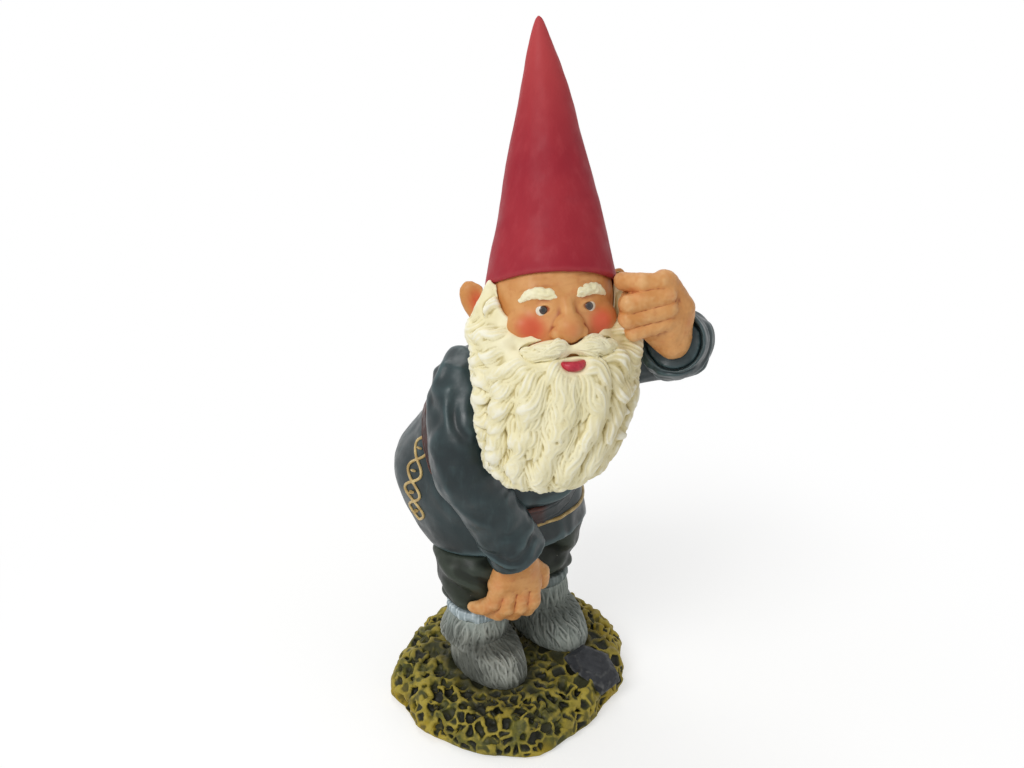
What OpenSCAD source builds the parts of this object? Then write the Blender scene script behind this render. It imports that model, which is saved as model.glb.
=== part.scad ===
// Garden gnome bending forward, one hand on its knee and the other at its temple.
// The figure is cast in pieces that plug together on spigots, and stands on a mossy ground base.
// The front is -Y, up is +Z and the gnome's left is +X. All sizes are in millimetres.

/* [Ground base] */
// Width of the ground base, from side to side
base_w = 86; // [80:1:104]
// Depth of the ground base, from front to back
base_d = 80; // [76:1:100]
// Height of the flat top that the boots stand on
base_h = 13; // [10:0.5:20]
// Height of the upright edge of the ground base
base_edge_h = 6; // [4:0.5:8]
// How far the wavy outline swings in and out
base_wave = 1.2; // [0:0.1:2]
// Height of the mound of moss behind the left boot
mound_h = 3.5; // [0:0.25:5]
// Width of a pit in the moss
pit_w = 5.2; // [4.6:0.2:6]
// Depth of a pit in the moss
pit_deep = 1.9; // [1.4:0.1:2.2]

/* [Stone] */
// Length of the dark stone at the front of the ground
stone_len = 22; // [14:0.5:24]
// Width of the stone
stone_w = 19; // [12:0.5:20]
// Height of the stone
stone_h = 9; // [6:0.5:12]

/* [Boots] */
// Length of a boot from heel to toe
boot_len = 33; // [28:0.5:38]
// Width of a boot's sole
boot_w = 21; // [17:0.5:24]
// Height of a boot from sole to cuff
boot_h = 20; // [15:0.5:28]
// Width of a boot at the ankle
ankle_w = 19; // [16:0.5:21]
// Distance between the two ankles
stance_w = 28.5; // [27:0.5:32]
// Height of the rolled cuff above a boot
boot_cuff_h = 4; // [2.5:0.25:6]
// How far the left toe turns outwards, in degrees
left_toe_out = 2; // [0:1:20]

/* [Trousers] */
// Height of a trouser leg between the boot cuff and the coat
leg_h = 22; // [17:0.5:28]
// Width of a trouser leg at the knee
leg_w = 24; // [20:0.5:26]

/* [Coat] */
// Height of the coat from its hem to its collar
coat_h = 74; // [64:1:88]
// Width of the coat at the hem
hem_w = 51; // [46:1:60]
// Depth of the coat at the hem
hem_d = 43; // [38:1:50]
// How much higher the hem is at the front than at the back
hem_rise = 7; // [0:0.5:9]
// Width of the coat at the hips
hip_w = 60; // [54:1:66]
// Depth of the coat at the hips
hip_d = 53; // [46:1:58]
// Width of the coat across the chest
chest_w = 45; // [40:1:50]
// Depth of the coat at the chest
chest_d = 37; // [32:1:42]
// How far the hips stand back behind the ankles
hip_back = 15; // [9:0.5:17]
// How far the collar leans forward of the ankles
lean = 15; // [10:0.5:20]

/* [Belt] */
// Height of the belt
belt_h = 5; // [4:0.25:7]
// Thickness of the belt
belt_t = 1.4; // [1:0.1:2.5]
// Height of the belt's middle above the coat hem
belt_up = 40; // [37:0.5:43]
// Tilt of the belt, higher at the back, in degrees
belt_tilt = 45; // [38:1:48]

/* [Arms] */
// Width of a sleeve at the upper arm
sleeve_w = 21; // [18:0.5:24]
// Width of a sleeve at its cuff
cuff_w = 20; // [17:0.5:22]
// Thickness of the sleeve's rim round its cuff
cuff_t = 1.8; // [1.2:0.1:2.4]
// Depth of the hollow in a sleeve's cuff
cuff_hollow = 3.5; // [2:0.25:5]
// How far the right elbow stands out from the straight line of the arm
right_elbow_out = 8; // [4:0.5:12]
// Length of the raised left upper arm
left_upper_arm = 36.5; // [34:0.5:42]
// Diameter of a shoulder spigot
shoulder_spigot_d = 8; // [5:0.5:10]
// Diameter of a wrist spigot
wrist_spigot_d = 7; // [5:0.5:9]
// Length of a spigot inside its socket
spigot_len = 8; // [5:0.5:10]

/* [Hands] */
// Width of a hand across the knuckles
hand_w = 17; // [14:0.5:19]
// Thickness of a hand
hand_t = 10; // [8:0.5:12]
// Thickness of a finger
finger_d = 5.3; // [4.3:0.1:5.6]

/* [Head] */
// Width of the head
head_w = 37; // [34:0.5:40]
// Depth of the head from face to nape
head_d = 39; // [36:0.5:42]
// Height of the head from chin to crown
head_h = 48; // [44:0.5:54]
// Height of the head's middle above the collar
head_up = 14; // [12:0.5:18]
// How far the head is thrust forward of the collar
head_out = 8; // [4:0.5:12]
// Turn of the face towards the gnome's right, in degrees
face_turn = 22; // [0:1:30]
// Tilt of the face upwards, in degrees
face_tilt = 18; // [0:1:25]
// Diameter of the nose
nose_d = 9; // [7:0.5:11]
// Height of an ear
ear_h = 18; // [14:0.5:20]
// Diameter of the neck spigot
neck_d = 14; // [10:0.5:18]

/* [Beard and hair] */
// Width of the beard
beard_w = 48.5; // [44:0.5:52]
// Length of the beard below the middle of the head
beard_len = 48; // [42:0.5:54]
// Depth of the beard from front to back
beard_t = 33; // [28:0.5:36]
// How far the main locks of the beard stand out and the grooves between them go in
lock_h = 1.1; // [0.5:0.1:1.5]
// How far the tip of the beard hangs towards the gnome's right
beard_swing = 4.5; // [0:0.5:9]
// Thickness of the hair behind the head
hair_t = 4; // [2.5:0.25:6]
// Length of half of the moustache
moustache_len = 16; // [12:0.5:18]
// Thickness of the moustache
moustache_t = 6; // [4:0.25:7]
// Length of an eyebrow
brow_len = 10; // [8:0.5:12]

/* [Hat] */
// Width of the hat at its rim
hat_w = 40; // [38:0.5:44]
// Height of the hat above the middle of the head
hat_h = 84.5; // [70:0.5:110]
// Height of the rim above the middle of the head
hat_rim_up = 7; // [6:0.5:9]
// How far the rim rises from the middle to the forehead
rim_rise = 6; // [4:0.25:8]
// How much lower the rim is on the gnome's left than in the middle
rim_slant = 1.5; // [0:0.25:2]
// How far the tip of the hat leans to the gnome's left
hat_lean = 2; // [-6:0.5:6]

/* [Fits] */
// Gap left for glue between two cast pieces
glue_gap = 0.15; // [0.05:0.05:0.3]
// Radial clearance of a spigot or rod in its hole
spigot_gap = 0.1; // [0.05:0.05:0.3]
// Diameter of the steel rod inside each leg
rod_d = 3; // [2:0.25:4]
// How deep a leg rod goes into the ground base
rod_in_base = 9; // [6:0.5:9]
// How deep a leg rod goes into the coat
rod_in_coat = 16; // [10:0.5:24]

/* [Hidden] */

// Colours, as the figure is painted
moss_green = "#8a7a26";
stone_grey = "#3c4046";
boot_grey = "#7d8084";
cuff_blue = "#9db4bd";
steel_grey = "#b0b4b8";
trouser_green = "#30362f";
coat_blue = "#3c4c56";
belt_brown = "#5a2a20";
skin_tan = "#d09a66";
beard_cream = "#e6dfbf";
lip_red = "#b8384a";
hat_red = "#ac3542";

// Heights of the seats, from the ground up
boot_top_z = base_h + boot_h;
leg_foot_z = boot_top_z + boot_cuff_h;
hem_z = leg_foot_z + leg_h;
belt_z = hem_z + belt_up;
collar_z = hem_z + coat_h;

// Places of the feet, where the left one stands a little behind the right one
stand_x = 3.5;
ankle_y = 4;
left_step_back = 4;
stance_x = stand_x + 2;
left_ankle = [stance_x + stance_w / 2, ankle_y + left_step_back, 0];
right_ankle = [stance_x - stance_w / 2, ankle_y, 0];

// Places of the collar, the head and the shoulders
collar = [stand_x, ankle_y - lean, collar_z];
head_c = collar + [0, -head_out, head_up];
shoulder_drop = coat_h * 0.108;
shoulder_back = coat_h * 0.149;
shoulder_out = chest_w * 0.378;
left_shoulder = collar + [shoulder_out, shoulder_back, -shoulder_drop];
right_shoulder = collar + [-shoulder_out, shoulder_back, -shoulder_drop];

// Points in the frame of the turned head, and of the turned and tilted head
function turned(p) = [
    p[0] * cos(face_turn) + p[1] * sin(face_turn),
    -p[0] * sin(face_turn) + p[1] * cos(face_turn),
    p[2]
];
function tilted(p) = [
    p[0],
    p[1] * cos(face_tilt) + p[2] * sin(face_tilt),
    -p[1] * sin(face_tilt) + p[2] * cos(face_tilt)
];
function on_head(p) = head_c + turned(tilted(p));

// Right arm, which ends on the front of the right knee with the fingers laid across it
hand_turn = 20;
hand_shift = leg_w * [0.38, 0.09, 0];
hand_unit = hand_w / 17;
function swung(p, a) = [p[0] * cos(a) + p[1] * sin(a), -p[0] * sin(a) + p[1] * cos(a), p[2]];
function on_knee(p) =
    right_ankle + [0, 0, leg_foot_z + leg_h * 0.6]
    + swung(p * hand_unit + hand_shift - [0, leg_w / 2 + hand_t * 0.5, 0], hand_turn);
right_wrist = on_knee([0.5, -2.5, 14.5]);
right_elbow = (right_shoulder + right_wrist) / 2 + right_elbow_out * [-1.65, -0.45, 0.5];
right_forearm = (right_elbow + right_wrist) / 2;
right_way = unit(right_forearm - right_wrist);

// Left arm, which is raised so that the forefinger meets the temple
temple = on_head([head_w * 0.4, -head_d * 0.35, head_h * 0.155]);
left_elbow = left_shoulder + left_upper_arm * [0.79, -0.56, 0.05];
raised_turn = 35;
function by_temple(p) = temple + swung(p * hand_unit, raised_turn);
left_wrist = by_temple([18.6, 2, -18.5]);
left_forearm = (left_elbow + left_wrist) / 2 + cuff_w * [0.15, -0.05, -0.05];
left_way = unit(left_forearm - left_wrist);

// Counts of facets around and along the cast forms
body_sides = 32;
limb_sides = 20;
hair_sides = 32;

// Smooth curve through rows of numbers
function cubic(a, b, c, d, f) =
    b + f / 2 * (c - a + f * (2 * a - 5 * b + 4 * c - d + f * (3 * (b - c) + d - a)));
function row_at(rows, t) =
    let (last = len(rows) - 1, i = min(floor(t), last - 1))
    cubic(rows[max(i - 1, 0)], rows[i], rows[i + 1], rows[min(i + 2, last)], t - i);
function smoothed(rows, steps) =
    [for (s = [0:steps]) row_at(rows, s * (len(rows) - 1) / steps)];

// First three numbers of a row are the middle of a ring, the next two its half sizes
function middle(row) = [row[0], row[1], row[2]];
function unit(v) = v / norm(v);
function end_sign(i, last) = i == 0 ? -1 : i == last ? 1 : 0;

// Rings that lie level, one for each smoothed row
function level_rings(rows, steps, sides, grow) =
    let (path = smoothed(rows, steps))
    [for (i = [0:steps])
        [for (k = [0:sides - 1])
            middle(path[i]) + [
                (path[i][3] + grow) * cos(360 * k / sides),
                (path[i][4] + grow) * sin(360 * k / sides),
                grow * end_sign(i, steps)
            ]]];

// Rings square to a path, with their first half size along the direction given
function limb_rings(rows, steps, sides, grow, across) =
    let (path = smoothed(rows, steps))
    [for (i = [0:steps])
        let (
            t = unit(middle(path[min(i + 1, steps)]) - middle(path[max(i - 1, 0)])),
            u = unit(across - (across * t) * t),
            v = cross(t, u),
            c = middle(path[i]) + grow * end_sign(i, steps) * t
        )
        [for (k = [0:sides - 1])
            c + u * (path[i][3] + grow) * cos(360 * k / sides)
              + v * (path[i][4] + grow) * sin(360 * k / sides)]];

function mean(points) = [for (p = points) 1] * points / len(points);

// Closed solid over a stack of rings
module skin(rings) {
    n = len(rings[0]);
    last = len(rings) - 1;
    points = [for (r = rings) each r];
    foot = len(points);
    faces = [
        for (i = [0:last - 1]) for (k = [0:n - 1])
            let (a = i * n + k, b = i * n + (k + 1) % n)
            each [[a, a + n, b + n], [a, b + n, b]],
        for (k = [0:n - 1]) [foot, k, (k + 1) % n],
        for (k = [0:n - 1]) [foot + 1, last * n + (k + 1) % n, last * n + k]
    ];
    polyhedron(concat(points, [mean(rings[0]), mean(rings[last])]), faces, convexity = 6);
}

module level_form(rows, steps, sides, grow = 0) {
    skin(level_rings(rows, steps, sides, grow));
}

module limb_form(rows, steps, sides, grow = 0, across = [1, 0, 0]) {
    skin(limb_rings(rows, steps, sides, grow, across));
}

// Round bar between two points
module bar(from, to, d, grow = 0) {
    way = to - from;
    translate(from)
        rotate([0, acos(way[2] / norm(way)), atan2(way[1], way[0])])
            cylinder(h = norm(way), d = d + 2 * grow, $fn = 48);
}

module place_turned() {
    translate(head_c) rotate([0, 0, -face_turn]) children();
}

module place_head() {
    place_turned() rotate([-face_tilt, 0, 0]) children();
}

// Ground base

// Reach of the ground's outline at every thirtieth degree, from the gnome's left round by the back
ground_reach = [1.04, 1.06, 1.03, 0.98, 0.93, 0.93, 0.9, 0.91, 1, 0.96, 0.91, 1.01];
function reach(a) =
    let (n = len(ground_reach), i = floor(a / 30))
    cubic(
        ground_reach[(i + n - 1) % n], ground_reach[i % n], ground_reach[(i + 1) % n],
        ground_reach[(i + 2) % n], a / 30 - i
    );

// Point of the ground's outline at an angle, drawn in by an inset
function ground_point(a, inset, z) =
    let (in = base_wave * (cos(7 * a + 30) + cos(11 * a + 100)) / 2 - inset)
    [(base_w / 2 * reach(a) + in) * cos(a), (base_d / 2 * reach(a) + in) * sin(a), z];

// Rise of the ground towards the mound, which lies behind the gnome's left boot
mound_turn = 25;
function mound(a) = mound_h * pow(max(0, cos(a - mound_turn)), 6);

// Insets and heights up the side of the ground, with each one's share of the mound
undercut = base_h * 0.115;
ground_slope = base_h - base_edge_h;
ground_inset = base_w * 0.105;
ground_levels = [
    [undercut, 0, 0], [0, undercut, 0], [ground_inset * 0.11, base_edge_h, 0.1],
    [ground_inset * 0.44, base_edge_h + ground_slope * 0.7, 0.6],
    [ground_inset, base_h, 1], [ground_inset * 1.55, base_h, 0]
];

module ground_form(grow = 0) {
    sides = 60;
    skin([for (l = ground_levels)
        [for (k = [0:sides - 1])
            let (a = 360 * k / sides)
            ground_point(a, l[0] - grow, l[1] + grow + mound(a) * l[2])]]);
}

// Pits in the moss, spread on a spiral that is closer towards the edge
pit_count = 230;
pit_turn = 137.5;
function pit_inset(i) = base_w / 2 * (1 - pow((i + 0.5) / pit_count, 0.38)) + 0.4;
function pit_height(inset) = lookup(inset, [for (i = [1:5]) [ground_levels[i][0], ground_levels[i][1]]]);
function pit_place(i) =
    let (a = i * pit_turn - 360 * floor(i * pit_turn / 360), in = pit_inset(i))
    ground_point(a, in, pit_height(in) + mound(a) * (in < ground_inset ? 0.7 : 0.4));

// True where a pit lies clear of a boot and of the stone
function off_boot(p, ankle) =
    let (wide = boot_w / 2 + pit_w * 0.55, long = boot_len / 2 + pit_w * 0.55)
    norm([(p[0] - ankle[0]) / wide, (p[1] - ankle[1] + boot_len * 0.2) / long]) > 1;
function is_open(p) =
    off_boot(p, left_ankle) && off_boot(p, right_ankle)
    && norm([p[0] - stone_seat[0], p[1] - stone_seat[1]]) > (stone_len + pit_w) * 0.5;

module moss_pits() {
    for (i = [0:pit_count - 1]) {
        p = pit_place(i);
        tip = lookup(pit_inset(i), [[1, 68], [ground_inset * 0.6, 40], [ground_inset * 1.2, 0]]);
        wide = pit_w * (0.85 + 0.25 * sin(i * 71));
        if (is_open(p))
            translate(p) rotate([0, 0, i * pit_turn]) rotate([0, tip, 0])
                translate([0, 0, -pit_deep])
                    cylinder(h = pit_deep * 2, d1 = wide * 0.66, d2 = wide * 1.34, $fn = 6);
    }
}

module leg_rod(ankle, grow = 0) {
    foot_z = base_h - rod_in_base - grow;
    top_z = hem_z + rod_in_coat + grow;
    bar(ankle + [0, 0, foot_z], ankle + [0, 0, top_z], rod_d, grow);
}

module rod_holes() {
    leg_rod(left_ankle, spigot_gap);
    leg_rod(right_ankle, spigot_gap);
}

module ground_base() {
    color(moss_green) difference() {
        ground_form();
        moss_pits();
        rod_holes();
    }
}

stone_seat = [base_w * 0.23, -base_d * 0.29, base_h - stone_h * 0.22];

module ground_stone() {
    sides = 6;
    turn = 12;
    tip = 14;
    levels = [[0.8, -stone_h * 0.6], [1, -stone_h * 0.1], [0.9, stone_h * 0.2], [0.62, stone_h * 0.4]];
    color(stone_grey) difference() {
        translate(stone_seat) rotate([tip, 0, turn])
            skin([for (l = levels)
                [for (k = [0:sides - 1])
                    [l[0] * stone_w / 2 * cos(360 * k / sides),
                     l[0] * stone_len / 2 * sin(360 * k / sides), l[1]]]]);
        ground_form(glue_gap);
    }
}

// Boots, cuffs and trouser legs

module boot_form() {
    half = boot_len / 2;
    ankle = ankle_w / 2;
    sole_y = 10 - half;
    level_form([
        [0, sole_y, 0, boot_w / 2 - 0.8, half - 0.8],
        [0, sole_y, boot_h * 0.12, boot_w / 2, half],
        [0, sole_y + 0.3, boot_h * 0.3, boot_w / 2 - 0.3, half - 0.8],
        [0, sole_y * 0.75, boot_h * 0.46, boot_w / 2 - 0.4, half * 0.84],
        [-0.7, 0.7, boot_h * 0.56, ankle + 1.7, ankle + 1.9],
        [-0.5, 0.5, boot_h * 0.7, ankle + 1.3, ankle + 1.5],
        [0, 0, boot_h, ankle, ankle + 0.4]
    ], 14, limb_sides);
}

module boot(ankle, turn) {
    color(boot_grey) difference() {
        translate(ankle + [0, 0, base_h]) rotate([0, 0, turn]) boot_form();
        leg_rod(ankle, spigot_gap);
    }
}

module left_boot() { boot(left_ankle, left_toe_out); }
module right_boot() { boot(right_ankle, 0); }

module boot_cuff(ankle) {
    r = ankle_w / 2;
    color(cuff_blue) difference() {
        translate(ankle + [0, 0, boot_top_z])
            level_form([
                [0, 0, 0, r, r + 0.4],
                [0, 0, boot_cuff_h * 0.5, r + 0.9, r + 1.2],
                [0, 0, boot_cuff_h, r + 0.5, r + 0.7]
            ], 6, limb_sides);
        leg_rod(ankle, spigot_gap);
    }
}

module left_boot_cuff() { boot_cuff(left_ankle); }
module right_boot_cuff() { boot_cuff(right_ankle); }

module left_leg_rod() { color(steel_grey) leg_rod(left_ankle); }
module right_leg_rod() { color(steel_grey) leg_rod(right_ankle); }

module leg_form(ankle, grow = 0) {
    r = leg_w / 2;
    translate(ankle + [0, 0, leg_foot_z])
        level_form([
            [0, 0, 0, r - 3, r - 3],
            [0, 0, leg_h * 0.16, r - 0.8, r - 0.8],
            [0, -0.6, leg_h * 0.5, r, r],
            [1, 0, leg_h, r + 0.8, r],
            [1.2, 0.5, leg_h + hem_rise, r + 0.4, r - 0.4]
        ], 11, limb_sides, grow);
}

module trouser_leg(ankle) {
    color(trouser_green) difference() {
        leg_form(ankle);
        coat_form(glue_gap);
        leg_rod(ankle, spigot_gap);
    }
}

module left_trouser_leg() { trouser_leg(left_ankle); }
module right_trouser_leg() { trouser_leg(right_ankle); }

// Coat and belt

module coat_form(grow = 0) {
    hip_y = ankle_y + hip_back;
    collar_y = collar[1];
    rows = [
        [3.2, ankle_y + 4, hem_z, hem_w / 2 + 2.2, hem_d / 2 + 2.5],
        [2.3, ankle_y + hip_back * 0.77, hem_z + coat_h * 0.14, hip_w / 2 + 1, hem_d / 2 + 6.5],
        [0.5, hip_y - 2.5, hem_z + coat_h * 0.32, hip_w / 2 + 0.5, hip_d / 2 + 4.5],
        [1.8, hip_y - 9.5, hem_z + coat_h * 0.54, hip_w / 2 - 3.5, hip_d / 2],
        [0, (hip_y + collar_y) / 2 - 1, hem_z + coat_h * 0.74, chest_w / 2, chest_d / 2 + 1],
        [0, collar_y + 5, hem_z + coat_h * 0.9, chest_w / 2 - 5, chest_d / 2 - 4],
        [0, collar_y, collar_z, neck_d / 2 + 4, neck_d / 2 + 4]
    ];
    steps = 24;
    fade = 6;
    rings = level_rings(rows, steps, body_sides, grow);
    translate([stand_x, 0, 0])
        skin([for (i = [0:steps])
            [for (p = rings[i])
                p + [0, 0, -hem_rise * (p[1] - ankle_y) / hem_d * max(0, 1 - i / fade)]]]);
}

neck_top = head_c + [0, 3, -6];
neck_foot = collar + [0, 3, -spigot_len - 6];

module neck_spigot(grow = 0) {
    bar(neck_top, neck_foot + grow * unit(neck_foot - neck_top), neck_d, grow);
}

// Shoulder spigots run from inside the sleeve into the coat
function inside_coat(shoulder) =
    [stand_x + (shoulder[0] - stand_x) * 0.35, shoulder[1] + 1, shoulder[2] - shoulder_drop / 2];

module shoulder_spigot(shoulder, grow = 0) {
    way = unit(inside_coat(shoulder) - shoulder);
    bar(shoulder - way * 2, shoulder + way * (spigot_len + grow), shoulder_spigot_d, grow);
}

module coat() {
    color(coat_blue) difference() {
        coat_form();
        head_form(glue_gap);
        neck_spigot(spigot_gap);
        shoulder_spigot(left_shoulder, spigot_gap);
        shoulder_spigot(right_shoulder, spigot_gap);
        rod_holes();
    }
}

// Slice of the coat's shape at the height of the belt
module belt_slab(extra = 0) {
    translate([stand_x, ankle_y + hip_back / 2, belt_z]) rotate([belt_tilt, 0, 0])
        cube([2 * hip_w, 2 * hip_w, belt_h + 2 * extra], center = true);
}

module belt_form(grow = 0) {
    intersection() {
        coat_form(belt_t + grow);
        belt_slab(grow);
    }
}

module belt() {
    color(belt_brown) difference() {
        belt_form();
        coat_form(glue_gap);
    }
}

// Arms

function half(p, w) = [p[0], p[1], p[2], w / 2, w / 2];

module right_sleeve_form(grow = 0) {
    limb_form([
        half(inside_coat(right_shoulder), sleeve_w - 6),
        half(right_shoulder + [-1.5, -1.5, -2.5], sleeve_w),
        half((right_shoulder + right_elbow) / 2 + [-2, -1, 0], sleeve_w + 0.5),
        half(right_elbow, sleeve_w - 0.5),
        half(right_forearm, cuff_w - 1),
        half(right_wrist, cuff_w)
    ], 18, limb_sides, grow);
}

module left_sleeve_form(grow = 0) {
    limb_form([
        half(inside_coat(left_shoulder), sleeve_w - 6),
        half(left_shoulder + [3, -2, 0], sleeve_w),
        half((left_shoulder + left_elbow) / 2 + [0, 0, -3], sleeve_w - 1),
        half(left_elbow + [-2, 2, -2], sleeve_w),
        half(left_forearm, cuff_w),
        half(left_wrist, cuff_w)
    ], 18, limb_sides, grow, [0, 0, 1]);
}

// Hollow in the end of a sleeve, which leaves a rim standing round the wrist
module hollow_of_cuff(wrist, forearm) {
    way = unit(forearm - wrist);
    bar(wrist - way * cuff_hollow, wrist + way * cuff_hollow, cuff_w - 2 * cuff_t);
}

// Wrist spigots run from the hand through the hollow of the cuff into the sleeve
module wrist_spigot(wrist, forearm, grow = 0) {
    way = unit(forearm - wrist);
    bar(wrist, wrist + way * (cuff_hollow + spigot_len + grow), wrist_spigot_d, grow);
}

module left_sleeve() {
    color(coat_blue) {
        difference() {
            left_sleeve_form();
            coat_form(glue_gap);
            head_form(glue_gap);
            hollow_of_cuff(left_wrist, left_forearm);
            wrist_spigot(left_wrist, left_forearm, spigot_gap);
        }
        shoulder_spigot(left_shoulder);
    }
}

module right_sleeve() {
    color(coat_blue) {
        difference() {
            right_sleeve_form();
            coat_form(glue_gap);
            belt_form(glue_gap);
            leg_form(right_ankle, glue_gap);
            hollow_of_cuff(right_wrist, right_forearm);
            wrist_spigot(right_wrist, right_forearm, spigot_gap);
        }
        shoulder_spigot(right_shoulder);
    }
}

// Rounded finger through a list of joints
module finger(joints) {
    for (i = [0:len(joints) - 2]) hull() {
        translate(joints[i]) sphere(d = finger_d, $fn = 10);
        translate(joints[i + 1]) sphere(d = finger_d * 0.92, $fn = 10);
    }
}

module right_hand_form() {
    hull() {
        translate(right_wrist) sphere(d = hand_t, $fn = 16);
        translate(on_knee([-4.5, 0, 1])) sphere(d = hand_t * 0.85, $fn = 16);
        translate(on_knee([4.5, 0, 2])) sphere(d = hand_t * 0.85, $fn = 16);
    }
    finger([for (p = [[-6, -1, 0], [-7.5, -0.8, -5], [-10, 1.5, -8], [-12.5, 4, -8.5]]) on_knee(p)]);
    finger([for (p = [[-2.2, -1.5, 0], [-3.2, -1.6, -7], [-5, 1, -10.5], [-7.5, 4, -11.5]]) on_knee(p)]);
    finger([for (p = [[1.9, -1.5, 0], [1.3, -1.6, -7.5], [-0.3, 1, -11.5], [-2, 4, -12.5]]) on_knee(p)]);
    finger([for (p = [[5.8, -1, 1], [5.6, -1.4, -6], [4.6, 1.2, -10.5], [3, 4, -12]]) on_knee(p)]);
    finger([for (p = [[5.5, 0.5, 7], [9.3, 1, 3], [9.6, 3, -2.5]]) on_knee(p)]);
}

module right_hand() {
    color(skin_tan) difference() {
        union() {
            difference() {
                right_hand_form();
                difference() {
                    right_sleeve_form(glue_gap);
                    hollow_of_cuff(right_wrist - glue_gap * right_way, right_forearm);
                }
            }
            wrist_spigot(right_wrist, right_forearm);
        }
        leg_form(right_ankle, glue_gap);
        coat_form(glue_gap);
    }
}

// The forefinger reaches the temple and the other fingers curl below it
module left_hand_form() {
    hull() {
        translate(left_wrist) sphere(d = hand_t, $fn = 16);
        translate(by_temple([15, 0, 0.5])) sphere(d = hand_t * 0.75, $fn = 16);
        translate(by_temple([16.5, -1, -8.5])) sphere(d = hand_t * 0.85, $fn = 16);
        translate(by_temple([20, 1.5, -8])) sphere(d = hand_t * 0.85, $fn = 16);
        translate(by_temple([8.5, -1.5, -4])) sphere(d = hand_t * 0.8, $fn = 16);
        translate(by_temple([9.5, -1.5, -10])) sphere(d = hand_t * 0.8, $fn = 16);
    }
    finger([for (p = [[14, -2, 1.6], [8.5, -2.6, 1.6], [3.2, 1.8, 0.4]]) by_temple(p)]);
    finger([for (p = [[15.5, -3.5, -1.6], [4.6, -6, -3.6], [4.6, -1, -5.5], [9, 0.5, -5]]) by_temple(p)]);
    finger([for (p = [[16, -4, -5.6], [4.4, -6.4, -7.9], [4.6, -1.5, -9.5], [9, 0, -9]]) by_temple(p)]);
    finger([for (p = [[16, -3.5, -9.6], [6.4, -5.6, -12], [7, -1, -13], [11, 0, -12]]) by_temple(p)]);
    finger([for (p = [[6.6, -3.7, -4.4], [6.6, -3.8, -8], [8, -3.4, -11.6]]) by_temple(p)]);
    finger([for (p = [[15, 4, -13], [9, 3.5, -9], [5.5, 2.5, -5]]) by_temple(p)]);
}

module left_hand() {
    color(skin_tan) {
        difference() {
            left_hand_form();
            difference() {
                left_sleeve_form(glue_gap);
                hollow_of_cuff(left_wrist - glue_gap * left_way, left_forearm);
            }
            head_form(glue_gap);
            hat_form(glue_gap);
            beard_form(glue_gap);
        }
        wrist_spigot(left_wrist, left_forearm);
    }
}

// Head

module head_form(grow = 0) {
    w = head_w / 2;
    d = head_d / 2;
    h = head_h / 2;
    place_head()
        level_form([
            [0, -2, -h, w * 0.25, d * 0.25],
            [0, -1.5, -h * 0.88, w * 0.62, d * 0.62],
            [0, -0.8, -h * 0.5, w * 0.9, d * 0.92],
            [0, 0, 0, w, d],
            [0, 0, h * 0.5, w * 0.93, d * 0.93],
            [0, 0, h * 0.88, w * 0.6, d * 0.6],
            [0, 0, h, w * 0.2, d * 0.2]
        ], 16, body_sides, grow);
}

nose_at = [0, -head_d / 2, -head_h * 0.06];

module nose(grow = 0) {
    translate(on_head(nose_at)) sphere(d = nose_d + 2 * grow, $fn = 40);
}

module head() {
    color(skin_tan) {
        head_form();
        nose();
        neck_spigot();
    }
}

module ear_form(side, grow = 0) {
    place_head() translate([side * (head_w / 2 - 0.2), 4, head_h * 0.05])
        rotate([0, side * 14, side * 20])
            limb_form([
                [0, 0, -ear_h * 0.5, 1.2, 1],
                [side * 1.2, 0, -ear_h * 0.3, 2.6, 2],
                [side * 2.6, 0, ear_h * 0.1, 4, 2.6],
                [side * 3, 0, ear_h * 0.38, 3.4, 2],
                [side * 2.6, 0, ear_h * 0.5, 1, 0.8]
            ], 10, 16, grow);
}

module ear(side) {
    color(skin_tan) difference() {
        ear_form(side);
        head_form(glue_gap);
        hat_form(glue_gap);
    }
}

module left_ear() { ear(1); }
module right_ear() { ear(-1); }

// The space above the plane of the hat's rim
module above_rim() {
    w = hat_w / 2;
    place_head()
        translate([0, 0, hat_rim_up - glue_gap])
            rotate([-atan(rim_rise / w), atan(rim_slant / w), 0])
                translate([-head_w, -head_d, 0]) cube([2 * head_w, 2 * head_d, head_h]);
}

module hair() {
    w = head_w / 2 + hair_t * 0.5;
    d = head_d / 2 + hair_t;
    back = head_d * 0.155;
    color(beard_cream) difference() {
        place_turned() intersection() {
            level_form([
                [0, 1, -head_h * 0.46, w * 0.62, d * 0.66],
                [0, 1, -head_h * 0.36, w * 0.85, d * 0.9],
                [0, 0, -head_h * 0.18, w, d],
                [0, 0, -head_h * 0.04, w, d * 0.98],
                [0, 1, head_h * 0.1, w * 0.96, d * 0.9],
                [0, 2, head_h * 0.3, w * 0.9, d * 0.8]
            ], 12, hair_sides);
            translate([-head_w, back, -head_h]) cube([2 * head_w, head_d, 2 * head_h]);
        }
        head_form(glue_gap);
        hat_form(glue_gap);
        above_rim();
        coat_form(glue_gap);
        ear_form(1, glue_gap);
        ear_form(-1, glue_gap);
        left_sleeve_form(glue_gap);
        right_sleeve_form(glue_gap);
    }
}

// The main locks run down the beard in waves and fade out towards the temples
lock_count = 14;
lock_sway = 130;

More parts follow.
